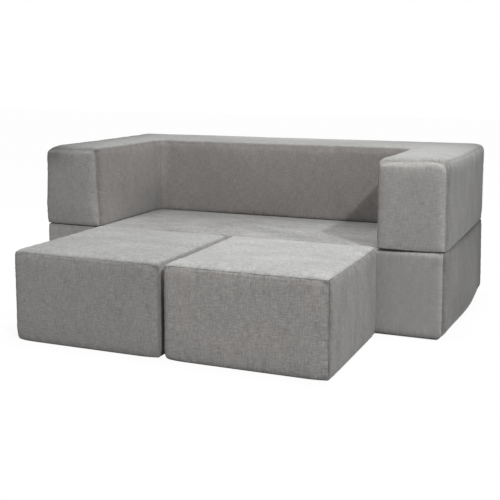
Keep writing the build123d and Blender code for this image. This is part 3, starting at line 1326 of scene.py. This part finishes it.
BEAD_TREE = "rows of beads"
BEAD_SOCKETS = {
    "count": "Int",
    "rows": "Int",
    "start": "Vector",
    "step": "Vector",
    "row_step": "Vector",
    "size": "Vector",
    "lean": "Vector",
    "seed": "Int",
    "material": "Material",
}


@dataclass
class Beads:
    """Rows of one small rounded shape: stitches, the turns of a zip's coil, or grip dots.

    It has the first bead's middle, the step to the next one and to the next row, how many there
    are in a row, each one's size, and how far it may turn about each axis, in radians.
    """

    name: str
    finish: Finish
    start: Triple
    step: Triple
    count: int
    size: Triple
    rows: int = 1
    row_step: Triple = (0.0, 0.0, 0.0)
    lean: Triple = (0.0, 0.0, 0.0)
    seed: int = 1

    @staticmethod
    def tree() -> bpy.types.GeometryNodeTree:
        """Builds the node tree once: points in rows, a bead on each, slightly turned.

        Returns:
            The tree.
        """
        found = bpy.data.node_groups.get(BEAD_TREE)
        if found:
            return found
        tree = bpy.data.node_groups.new(BEAD_TREE, "GeometryNodeTree")
        for label, kind in BEAD_SOCKETS.items():
            tree.interface.new_socket(name=label, in_out="INPUT", socket_type=f"NodeSocket{kind}")
        geometry = "NodeSocketGeometry"
        tree.interface.new_socket(name="Geometry", in_out="OUTPUT", socket_type=geometry)
        given = tree.nodes.new("NodeGroupInput").outputs

        def add(kind: str, inputs: dict, **settings: str) -> bpy.types.NodeSocket:
            """Adds a node, with its settings first and then its inputs, and returns its output.

            Args:
                kind: the node's type.
                inputs: values or sockets by name or number.
                settings: its properties.

            Returns:
                Its first output.
            """
            made = tree.nodes.new(kind)
            for key, value in settings.items():
                setattr(made, key, value)
            for key, value in inputs.items():
                if isinstance(value, bpy.types.NodeSocket):
                    tree.links.new(value, made.inputs[key])
                else:
                    made.inputs[key].default_value = value
            return made.outputs[0]

        def maths(operation: str, *values: bpy.types.NodeSocket) -> bpy.types.NodeSocket:
            """Adds a Math node."""
            return add("ShaderNodeMath", dict(enumerate(values)), operation=operation)

        def scaled(
            vector: bpy.types.NodeSocket, scale: "bpy.types.NodeSocket | float"
        ) -> bpy.types.NodeSocket:
            """Adds a node that scales a vector."""
            inputs = {"Vector": vector, "Scale": scale}
            return add("ShaderNodeVectorMath", inputs, operation="SCALE")

        def moved(
            first: bpy.types.NodeSocket, second: bpy.types.NodeSocket
        ) -> bpy.types.NodeSocket:
            """Adds a node that adds two vectors."""
            return add("ShaderNodeVectorMath", {0: first, 1: second}, operation="ADD")

        index = add("GeometryNodeInputIndex", {})
        row = maths("FLOOR", maths("DIVIDE", index, given["count"]))
        column = maths("SUBTRACT", index, maths("MULTIPLY", row, given["count"]))
        steps = moved(scaled(given["step"], column), scaled(given["row_step"], row))
        total = maths("MULTIPLY", given["count"], given["rows"])
        points = add("GeometryNodePoints", {"Count": total})
        place = moved(steps, given["start"])
        placed = add("GeometryNodeSetPosition", {"Geometry": points, "Position": place})
        bead = add("GeometryNodeMeshUVSphere", {"Segments": 6, "Rings": 4, "Radius": 0.5})
        smooth = add("GeometryNodeSetShadeSmooth", {"Geometry": bead})
        limits = {0: scaled(given["lean"], -1.0), 1: given["lean"], "Seed": given["seed"]}
        lean = add("FunctionNodeRandomValue", limits, data_type="FLOAT_VECTOR")
        inputs = {"Points": placed, "Instance": smooth, "Rotation": lean, "Scale": given["size"]}
        beads = add("GeometryNodeInstanceOnPoints", inputs)
        real = add("GeometryNodeRealizeInstances", {"Geometry": beads})
        paint = {"Geometry": real, "Material": given["material"]}
        painted = add("GeometryNodeSetMaterial", paint)
        tree.links.new(painted, tree.nodes.new("NodeGroupOutput").inputs[0])
        return tree

    def build(self) -> bpy.types.Object:
        """Makes the rows as one plain mesh.

        Returns:
            The piece.
        """
        tree = self.tree()
        label = self.name + "_carrier"
        carrier = bpy.data.objects.new(label, bpy.data.meshes.new(label))
        objects = bpy.context.scene.collection.objects
        objects.link(carrier)
        modifier = carrier.modifiers.new("beads", "NODES")
        modifier.node_group = tree
        values = {**vars(self), "material": self.finish.material()}
        for item in tree.interface.items_tree:
            if item.in_out == "INPUT":
                modifier[item.identifier] = values[item.name]
        bpy.context.view_layer.update()
        evaluated = carrier.evaluated_get(bpy.context.evaluated_depsgraph_get())
        mesh = bpy.data.meshes.new_from_object(evaluated)
        mesh.name = self.name
        made = bpy.data.objects.new(self.name, mesh)
        objects.link(made)
        bpy.data.objects.remove(carrier)
        return made


# Zips, hinge and grip sheets


def strip(
    name: str,
    profile: list[Pair],
    thickness: float,
    x_low: float,
    x_high: float,
    cell: float,
    finish: Finish,
) -> bpy.types.Object:
    """A closed strip of cloth along X.

    Args:
        name: the piece's name.
        profile: the cloth's middle line, as places in Y and Z.
        thickness: the cloth's thickness.
        x_low: where it starts.
        x_high: where it ends.
        cell: the step along X.
        finish: its material.

    Returns:
        The strip, with a map in metres.
    """
    line = np.array(profile)
    along = np.gradient(line, axis=0)
    along /= np.linalg.norm(along, axis=1, keepdims=True)
    outwards = np.column_stack([along[:, 1], -along[:, 0]])
    count = max(int((x_high - x_low) / cell), 2) + 1
    xs = np.linspace(x_low, x_high, count)
    drops = np.concatenate([[0.0], np.cumsum(np.linalg.norm(np.diff(line, axis=0), axis=1))])
    last_row, last = len(line) - 1, count - 1
    points, places = [], []
    for side in (0.5, -0.5):
        for (y, z), drop in zip(line + outwards * side * thickness, drops):
            points += [(x, y, z) for x in xs]
            places += [(x, drop) for x in xs]

    def face(*corners: tuple[int, int, int]) -> tuple[int, ...]:
        """The vertices' numbers, from each one's row, column and layer."""
        return tuple(layer * len(line) * count + r * count + c for r, c, layer in corners)

    faces = []
    for r in range(last_row):
        for c in range(last):
            faces.append(face((r, c, 0), (r + 1, c, 0), (r + 1, c + 1, 0), (r, c + 1, 0)))
            faces.append(face((r, c + 1, 1), (r + 1, c + 1, 1), (r + 1, c, 1), (r, c, 1)))
    flat = len(faces)
    for r in range(last_row):
        faces.append(face((r, 0, 0), (r, 0, 1), (r + 1, 0, 1), (r + 1, 0, 0)))
        faces.append(face((r, last, 0), (r + 1, last, 0), (r + 1, last, 1), (r, last, 1)))
    for c in range(last):
        faces.append(face((0, c, 0), (0, c + 1, 0), (0, c + 1, 1), (0, c, 1)))
        end = last_row
        faces.append(face((end, c, 0), (end, c, 1), (end, c + 1, 1), (end, c + 1, 0)))
    made = new_mesh(name, np.array(points), faces, finish, smooth=False)
    made.data.polygons.foreach_set("use_smooth", [i < flat for i in range(len(faces))])
    set_map(made, np.array([places[corner] for face in faces for corner in face]))
    return made


@dataclass
class Zip:
    """A coil zip in its well: two stitched tapes, the coil between them, stops and slider."""

    prefix: str
    body: str
    middle: float
    length: float
    back: float
    height: float
    tape_width: float = 0.009
    tape_thickness: float = 0.0008
    tape_overhang: float = 0.008
    tape_share: float = 0.9
    tape_cell: float = 0.02
    coil_width: float = 0.005
    coil_depth: float = 0.0022
    coil_pitch: float = 0.0016
    coil_share: float = 0.92
    coil_end: float = 0.0043
    coil_left: float = 0.008
    stitch_pitch: float = 0.0032
    stitch_length: float = 0.0024
    stitch_width: float = 0.0006
    stitch_inset: float = 0.0035
    stitch_lift: float = 0.0001
    stitch_lean: Triple = (0.0, 0.08, 0.05)

    def build(self) -> None:
        """Makes the tapes, their stitches and the coil, and dresses the metal pieces."""
        self._build_tapes()
        self._build_stitches()
        self._build_coil()
        for node in ("slider", "stops"):
            dress_node(f"{self.prefix}_zip_{node}", ZIP_METAL)

    def _build_tapes(self) -> None:
        """Makes both tapes."""
        reach = self.length / 2 + self.tape_overhang
        middle_y = self.back + self.tape_thickness / 2
        for label, side in (("lower", -1.0), ("upper", 1.0)):
            inner = self.height + side * self.coil_width / 2
            heights = sorted(inner + side * self.tape_width * step / 4 for step in range(5))
            tape = strip(
                f"{self.prefix}_zip_{label}_tape",
                [(middle_y, z) for z in heights],
                self.tape_thickness * self.tape_share,
                self.middle - reach,
                self.middle + reach,
                self.tape_cell,
                TAPE,
            )
            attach(tape, self.body)
            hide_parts(f"{self.prefix}_zip_tapes")

    def _build_stitches(self) -> None:
        """Sews each tape to the cover with a row of stitches."""
        reach = self.length / 2
        offset = self.coil_width / 2 + self.tape_width - self.stitch_inset
        outer_y = self.back + self.tape_thickness + self.stitch_lift
        rows = Beads(
            f"{self.prefix}_zip_stitches",
            SEWING,
            start=(self.middle - reach, outer_y, self.height - offset),
            step=(self.stitch_pitch, 0.0, 0.0),
            count=int(2 * reach / self.stitch_pitch),
            size=(self.stitch_length, self.stitch_width, self.stitch_width),
            rows=2,
            row_step=(0.0, 0.0, 2 * offset),
            lean=self.stitch_lean,
            seed=len(self.prefix),
        ).build()
        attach(rows, self.body)

    def _build_coil(self) -> None:
        """Makes the coil's turns up to the slider."""
        start_x = self.middle - self.length / 2
        turns = (self.length - self.coil_end - self.coil_pitch) / self.coil_pitch
        middle_y = self.back + self.tape_thickness / 2
        coil = Beads(
            f"{self.prefix}_zip_coil",
            COIL,
            start=(start_x + self.coil_pitch / 2, middle_y, self.height),
            step=(self.coil_pitch, 0.0, 0.0),
            count=int(turns),
            size=(self.coil_pitch * self.coil_share, self.coil_depth, self.coil_width),
        ).build()
        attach(coil, self.body)
        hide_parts(f"{self.prefix}_zip_teeth")
        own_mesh(coil)


@dataclass
class Hinge:
    """The cloth strip along the rear edge that the back folds over on."""

    length: float = 1.300
    leaf: float = 0.060
    thickness: float = 0.0012
    rear: float = 0.375
    seam: float = 0.29015
    bulge: float = 0.0026
    bulge_reach: float = 0.0032
    bend_reach: float = 0.004
    lift: float = 0.00005
    cell: float = 0.01
    ripple: float = 0.0004
    ripple_reach: float = 0.02
    ripple_scale: Pair = (22.0, 30.0)
    ripple_rise: float = 0.4
    stitch_pitch: float = 0.0046
    stitch_length: float = 0.0034
    stitch_width: float = 0.0008
    stitch_lift: float = 0.0002
    stitch_lean: Triple = (0.0, 0.06, 0.04)
    stitch_seed: int = 7
    hem: float = 0.006
    fold_steps: tuple[float, ...] = (
        *(0.0009, 0.0018, 0.0028, 0.004, 0.006, 0.010, 0.018, 0.030, 0.045),
    )

    def build(self) -> None:
        """Makes the strip, which bulges slightly along its middle, and its rows of stitches."""
        reach = self.length / 2
        upper = [*self.fold_steps, self.leaf]
        offsets = [*(-offset for offset in reversed(upper)), 0.0, *upper]
        middle_y = self.rear + self.thickness / 2 + self.lift
        profile = [
            (middle_y + self.bulge * math.exp(-((o / self.bulge_reach) ** 2)), self.seam + o)
            for o in offsets
        ]
        cloth = strip("hinge_strip", profile, self.thickness, -reach, reach, self.cell, HINGE_CLOTH)
        self._ripple(cloth)
        sewn = (("lower", -1.0, "base"), ("upper", 1.0, "back_and_arms"))
        rows = [self._stitches(*leaf) for leaf in sewn]
        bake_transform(cloth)
        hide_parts("hinge_lower_leaf", "hinge_upper_leaf")

    def _ripple(self, cloth: bpy.types.Object) -> None:
        """Lets the strip stand slightly uneven along the fold.

        Args:
            cloth: the strip.
        """
        along, up = self.ripple_scale
        for vertex in cloth.data.vertices:
            near = math.exp(-(((vertex.co.z - self.seam) / self.ripple_reach) ** 2))
            wave = noise.noise(Vector((vertex.co.x * along, 0.0, vertex.co.z * up)))
            vertex.co.y += self.ripple * near * (wave + self.ripple_rise)
        cloth.data.update()

    def _stitches(self, label: str, side: float, body: str) -> bpy.types.Object:
        """Two rows of stitches along one leaf's edge.

        Args:
            label: the leaf's name.
            side: 1 for the upper leaf and -1 for the lower.
            body: the body that the leaf is sewn to.

        Returns:
            The stitches.
        """
        reach = self.length / 2 - self.hem
        first = self.seam + side * (self.leaf - self.hem)
        rows = Beads(
            f"hinge_{label}_stitches",
            SEWING,
            start=(-reach, self.rear + self.thickness + self.stitch_lift, first),
            step=(self.stitch_pitch, 0.0, 0.0),
            count=int(2 * reach / self.stitch_pitch),
            size=(self.stitch_length, self.stitch_width, self.stitch_width),
            rows=2,
            row_step=(0.0, 0.0, -side * self.hem),
            lean=self.stitch_lean,
            seed=self.stitch_seed,
        ).build()
        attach(rows, body)
        return rows


@dataclass
class GripSheet:
    """The non-slip sheet under a module: canvas with rows of rubber dots."""

    prefix: str
    body: str
    low: float = 0.0009
    thickness: float = 0.0009
    columns: int = 40
    rows: int = 24
    dot_pitch: float = 0.022
    dot_width: float = 0.0045
    dot_depth: float = 0.0017
    dot_lift: float = 0.0002
    margin: float = 0.018

    def build(self) -> None:
        """Makes the sheet and its dots inside the CAD sheet's outline."""
        low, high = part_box(f"{self.prefix}_grip_sheet")
        nx, ny = self.columns, self.rows
        xs, ys = np.linspace(low[0], high[0], nx), np.linspace(low[1], high[1], ny)
        heights = (self.low + self.thickness, self.low)
        points = np.array([(x, y, z) for z in heights for x in xs for y in ys])
        back = nx * ny
        faces = []
        for i in range(nx - 1):
            for j in range(ny - 1):
                quad = (i * ny + j, (i + 1) * ny + j, (i + 1) * ny + j + 1, i * ny + j + 1)
                faces += [quad, tuple(back + corner for corner in reversed(quad))]
        rim = [i * ny for i in range(nx)] + [(nx - 1) * ny + j for j in range(1, ny)]
        rim += [i * ny + ny - 1 for i in range(nx - 2, -1, -1)] + list(range(ny - 2, 0, -1))
        faces += [(a, back + a, back + b, b) for a, b in zip(rim, rim[1:] + rim[:1])]
        cloth = new_mesh(f"{self.prefix}_grip_cloth", points, faces, GRIP, smooth=False)
        set_map(cloth, np.array([points[corner, :2] for face in faces for corner in face]))
        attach(cloth, self.body)
        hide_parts(f"{self.prefix}_grip_sheet")
        dots = self._dots(low, high)

    def _dots(self, low: Triple, high: Triple) -> bpy.types.Object:
        """Rows of dots under the cloth, down to the floor.

        Args:
            low: the CAD sheet's lowest corner.
            high: its highest corner.

        Returns:
            The dots.
        """
        width, depth = (high[axis] - low[axis] - 2 * self.margin for axis in (0, 1))
        count, rows = int(width / self.dot_pitch), int(depth / self.dot_pitch)
        middle_z = self.dot_depth / 2 + self.dot_lift
        dots = Beads(
            f"{self.prefix}_grip_dots",
            GRIP_DOT,
            start=(low[0] + self.margin, low[1] + self.margin, middle_z),
            step=(width / count, 0.0, 0.0),
            count=count + 1,
            size=(self.dot_width, self.dot_width, self.dot_depth),
            rows=rows + 1,
            row_step=(0.0, depth / rows, 0.0),
        ).build()
        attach(dots, self.body)
        return dots


def dress_node(name: str, finish: Finish) -> None:
    """Gives a CAD node's object a finish.

    Args:
        name: the node.
        finish: its material.
    """
    for slot in bpy.data.objects[name].material_slots:
        slot.link = "OBJECT"
        slot.material = finish.material()


# The whole sofa

BROW, POST, SIDE = (1, 2), (0, 1), (0, 2)


@dataclass
class Sofa:
    """The seat base, the back with its arms, and the two ottomans."""

    half_width: float = 0.750
    half_depth: float = 0.375
    arm_inner: float = 0.524
    back_face: float = 0.095
    seat_height: float = 0.290
    back_floor: float = 0.2903
    back_top: float = 0.5823
    zip_height: float = 0.045
    back_zip_height: float = 0.110
    ottoman_height: float = 0.295
    ottoman_half_width: float = 0.260
    ottoman_middle: float = 0.267
    ottoman_front: float = -0.8803
    ottoman_rear: float = -0.3753

    def _base(self) -> Cover:
        """The seat base's cover.

        Returns:
            The cover.
        """
        w, d, a, top = self.half_width, self.half_depth, self.arm_inner, self.seat_height
        side = Swell(0.0015, 0.0048)
        return Cover(
            prefix="base",
            body="base",
            plan=[(-w, -d), (w, -d), (w, d), (-w, d)],
            low=0.0,
            high=top,
            swells=[Swell(), side, Swell(), side],
            crown=0.0068,
            crown_area=(-a, a, -d, self.back_face),
            top_round=0.0052,
            shoulder=0.0,
            seams_seen=0.8,
            ridges=(
                Ridge(BROW, (-d, 0.0), (-1.0, -1.0), 0.018),
                Ridge(POST, (w, -d), (1.0, -1.0), 0.013),
                Ridge(SIDE, (-w, 0.0), (-1.0, -1.0), 0.024),
                Ridge(SIDE, (w, 0.0), (1.0, -1.0), 0.036),
            ),
            pushes=(
                Push((w, 0.04, 0.04), (0.15, 0.25, 0.14), (0.016, 0.0, 0.0)),
                Push((w, -d, 0.14), (0.030, 0.035, 9.0), (-0.005, 0.0, 0.0)),
                Push((a, -d, top), (0.12, 0.12, 0.06), (0.0, 0.0, -0.009)),
            ),
            zip_height=self.zip_height,
            zip_length=1.300,
            rear=d,
            room_front=-d,
            lid=top,
            seed=1,
            top_nap=NAPS_AND_LIGHT["seat"],
            naps=[NAPS_AND_LIGHT[n] for n in ("base front", "base side", "rear panel", "rear panel")],
        )

    def _back(self) -> Cover:
        """The cover of the back and both arms.

        Returns:
            The cover.
        """
        w, d, a, b = self.half_width, self.half_depth, self.arm_inner, self.back_face
        low, top = self.back_floor, self.back_top
        arm_front, arm_inner = Swell(0.001, 0.0037), Swell(0.001, 0.0038)
        back_front, side = Swell(0.0015, 0.0068), Swell(0.0015, 0.0048)
        arms = ("left arm", "arm inner", "back", "arm inner", "right arm")
        return Cover(
            prefix="back",
            body="back_and_arms",
            more_foam=("left_arm_foam", "right_arm_foam"),
            plan=[(-w, -d), (-a, -d), (-a, b), (a, b), (a, -d), (w, -d), (w, d), (-w, d)],
            low=low,
            high=top,
            swells=[arm_front, arm_inner, back_front, arm_inner, arm_front, side, Swell(), side],
            crown=0.003,
            crown_reach=0.07,
            edge=0.0090,
            top_round=0.0160,
            low_round=0.0030,
            low_pull=0.0010,
            seams_seen=0.35,
            ridges=(
                Ridge(BROW, (-d, top), (-1.0, 1.0), 0.026),
                Ridge(POST, (-a, -d), (1.0, -1.0), 0.022),
                Ridge(POST, (w, -d), (1.0, -1.0), 0.016),
                Ridge(SIDE, (-w, top), (-1.0, 1.0), 0.046),
                Ridge(SIDE, (w, top), (1.0, 1.0), 0.026),
                Ridge(SIDE, (a, top), (-1.0, 1.0), 0.022, b),
                Ridge(SIDE, (-w, low), (-1.0, -1.0), 0.015),
            ),
            pushes=(
                Push((-w, -d, low + 0.06), (0.10, 0.25, 0.10), (-0.006, 0.0, 0.0)),
                Push((-a, -d, top), (0.06, 0.12, 0.16), (-0.010, 0.0, 0.0)),
                Push((-a, -d, low), (0.06, 0.10, 0.08), (0.004, 0.0, 0.0)),
                Push((w, -d, top), (0.035, 0.035, 0.035), (-0.008, 0.007, -0.008)),
                Push((a, -d, low), (0.12, 0.12, 0.06), (0.0, 0.0, -0.0112)),
                Push((w, -d, top), (0.14, 0.20, 0.09), (0.0, 0.0, 0.007)),
            ),
            zip_height=low + self.back_zip_height,
            zip_length=1.240,
            rear=d,
            seed=2,
            top_nap=NAPS_AND_LIGHT["arm top"],
            naps=[NAPS_AND_LIGHT[n] for n in (*arms, "side", "rear panel", "rear panel")],
        )

    def _ottoman(self, label: str, side: float, seed: int) -> Cover:
        """One ottoman's cover.

        Args:
            label: left or right.
            side: the sign of its place along X.
            seed: fixes its unevenness.

        Returns:
            The cover.
        """
        middle, w, right = side * self.ottoman_middle, self.ottoman_half_width, side > 0
        front, rear, top = self.ottoman_front, self.ottoman_rear, self.ottoman_height
        outer, between = Swell(0.0018, 0.0056), Swell(0.0026, 0.0038)
        swells = [Swell(0.0015, 0.0048), outer, Swell(), between]
        naps = [f"{label} ottoman front", "ottoman side", "rear panel", "between ottomans"]
        if not right:
            for sides in (swells, naps):
                sides[1], sides[3] = sides[3], sides[1]
        return Cover(
            prefix=f"{label}_ottoman",
            body=f"{label}_ottoman",
            plan=[(middle - w, front), (middle + w, front), (middle + w, rear), (middle - w, rear)],
            low=0.0,
            high=top,
            swells=swells,
            crown=0.0068,
            seams_seen=1.0 if right else 0.45,
            ridges=(
                Ridge(BROW, (front, top), (-1.0, 1.0), 0.019),
                Ridge(POST, (middle - side * w, front), (-side, -1.0), 0.009),
                Ridge(SIDE, (middle - side * w, top), (-side, 1.0), 0.018),
                Ridge(SIDE, (middle - w, 0.0), (-1.0, -1.0), 0.030),
                Ridge(SIDE, (middle + w, 0.0), (1.0, -1.0), 0.010 if right else 0.014),
            ),
            zip_height=self.zip_height,
            zip_length=0.400,
            zip_middle=middle,
            rear=rear,
            seed=seed,
            top_nap=NAPS_AND_LIGHT[f"{label} ottoman top"],
            naps=[NAPS_AND_LIGHT[n] for n in naps],
        )

    def build(self) -> None:
        """Makes every piece and dresses it."""
        ottomans = [self._ottoman("left", -1.0, 3), self._ottoman("right", 1.0, 4)]
        covers = [self._base(), self._back(), *ottomans]
        for cover in covers:
            piece = cover.build()
            cover.settle(piece)
            cover.dress(piece)
            LOG.info("cover %s: %d vertices", piece.name, len(piece.data.vertices))
        for cover in covers:
            back = cover.rear - cover.well_depth
            place = (cover.zip_middle, cover.zip_length, back, cover.zip_height)
            Zip(cover.prefix, cover.body, *place).build()
            if cover.prefix != "back":
                GripSheet(cover.prefix, cover.body).build()
            LOG.info("zip of %s", cover.prefix)
        Hinge().build()


# Light and camera


class Lamp(Enum):
    """The kinds of lamp in the studio."""

    SUN = "SUN"
    AREA = "AREA"


@dataclass
class Studio:
    """A white room with a large light overhead, a sharper one from the right, and the camera."""

    eye: Triple = (1.2595, -3.2144, 0.8584)
    azimuth: float = 22.585
    elevation: float = 7.421
    roll: float = 0.051
    lens: float = 65.296
    sensor: float = 36.0
    shift_y: float = -0.12
    key_from: Triple = (0.635, -0.435, 0.70)
    key_strength: float = 1.50
    key_angle: float = 3.0
    key_distance: float = 5.0
    top_place: Triple = (0.30, -0.10, 2.6)
    top_size: float = 1.2
    top_power: float = 45.9
    room_light: float = 0.33
    floor_reach: float = 14.0
    floor_drop: float = 0.0002

    def build(self) -> None:
        """Adds the floor, the lamps, the room's light and the camera."""
        self._add_floor()
        self._add_world()
        self._add_lamp("key", Lamp.SUN, Vector(self.key_from), self.key_strength)
        self._add_lamp("overhead", Lamp.AREA, Vector((0.0, 0.0, 1.0)), self.top_power)
        self._add_camera()
        bpy.context.scene.view_settings.view_transform = "Standard"

    def _add_floor(self) -> None:
        """A square floor under the sofa."""
        r, z = self.floor_reach, -self.floor_drop
        corners = np.array([(-r, -r, z), (r, -r, z), (r, r, z), (-r, r, z)])
        finish = StudioFloor("studio floor")
        new_mesh("studio_floor", corners, [(0, 1, 2, 3)], finish, smooth=False)

    def _add_world(self) -> None:
        """White where the camera looks, and a weaker white as light."""
        world = bpy.data.worlds.new("studio")
        world.use_nodes = True
        tree = world.node_tree
        background = tree.nodes["Background"]
        background.inputs["Color"].default_value = (1.0, 1.0, 1.0, 1.0)
        rays = tree.nodes.new("ShaderNodeLightPath")
        strength = tree.nodes.new("ShaderNodeMapRange")
        strength.inputs["To Min"].default_value = self.room_light
        strength.inputs["To Max"].default_value = 1.0
        tree.links.new(rays.outputs["Is Camera Ray"], strength.inputs["Value"])
        tree.links.new(strength.outputs[0], background.inputs["Strength"])
        bpy.context.scene.world = world

    def _add_lamp(self, name: str, kind: Lamp, towards: Vector, power: float) -> None:
        """Adds a lamp.

        Args:
            name: the lamp's name.
            kind: sun or area.
            towards: the direction from the sofa to the lamp.
            power: the sun's strength or the area's watts.
        """
        data = bpy.data.lights.new(name, kind.value)
        data.energy = power
        lamp = bpy.data.objects.new(name, data)
        if kind is Lamp.AREA:
            data.shape = "SQUARE"
            data.size = self.top_size
            lamp.location = self.top_place
        else:
            data.angle = math.radians(self.key_angle)
            lamp.location = towards * self.key_distance
        lamp.rotation_euler = towards.to_track_quat("Z", "Y").to_euler()
        bpy.context.scene.collection.objects.link(lamp)

    def _add_camera(self) -> None:
        """Places the camera where the photograph was taken from."""
        az, el, roll = (math.radians(v) for v in (self.azimuth, self.elevation, self.roll))
        level = math.cos(el)
        behind = Vector((math.sin(az) * level, -math.cos(az) * level, math.sin(el)))
        right = (-behind).cross(Vector((0.0, 0.0, 1.0))).normalized()
        up = right.cross(-behind)
        turned_right = math.cos(roll) * right + math.sin(roll) * up
        turned_up = math.cos(roll) * up - math.sin(roll) * right
        data = bpy.data.cameras.new("camera")
        data.sensor_width = self.sensor
        data.lens = self.lens
        data.shift_y = self.shift_y
        camera = bpy.data.objects.new("camera", data)
        axes = Matrix((turned_right, turned_up, behind)).transposed().to_4x4()
        camera.matrix_world = Matrix.Translation(Vector(self.eye)) @ axes
        bpy.context.scene.collection.objects.link(camera)
        bpy.context.scene.camera = camera


def main() -> None:
    """Builds the sofa's looks and its studio."""
    logging.basicConfig(level=logging.INFO, format="%(name)s: %(message)s")
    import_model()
    Sofa().build()
    Studio().build()


if __name__ == "__main__":
    main()
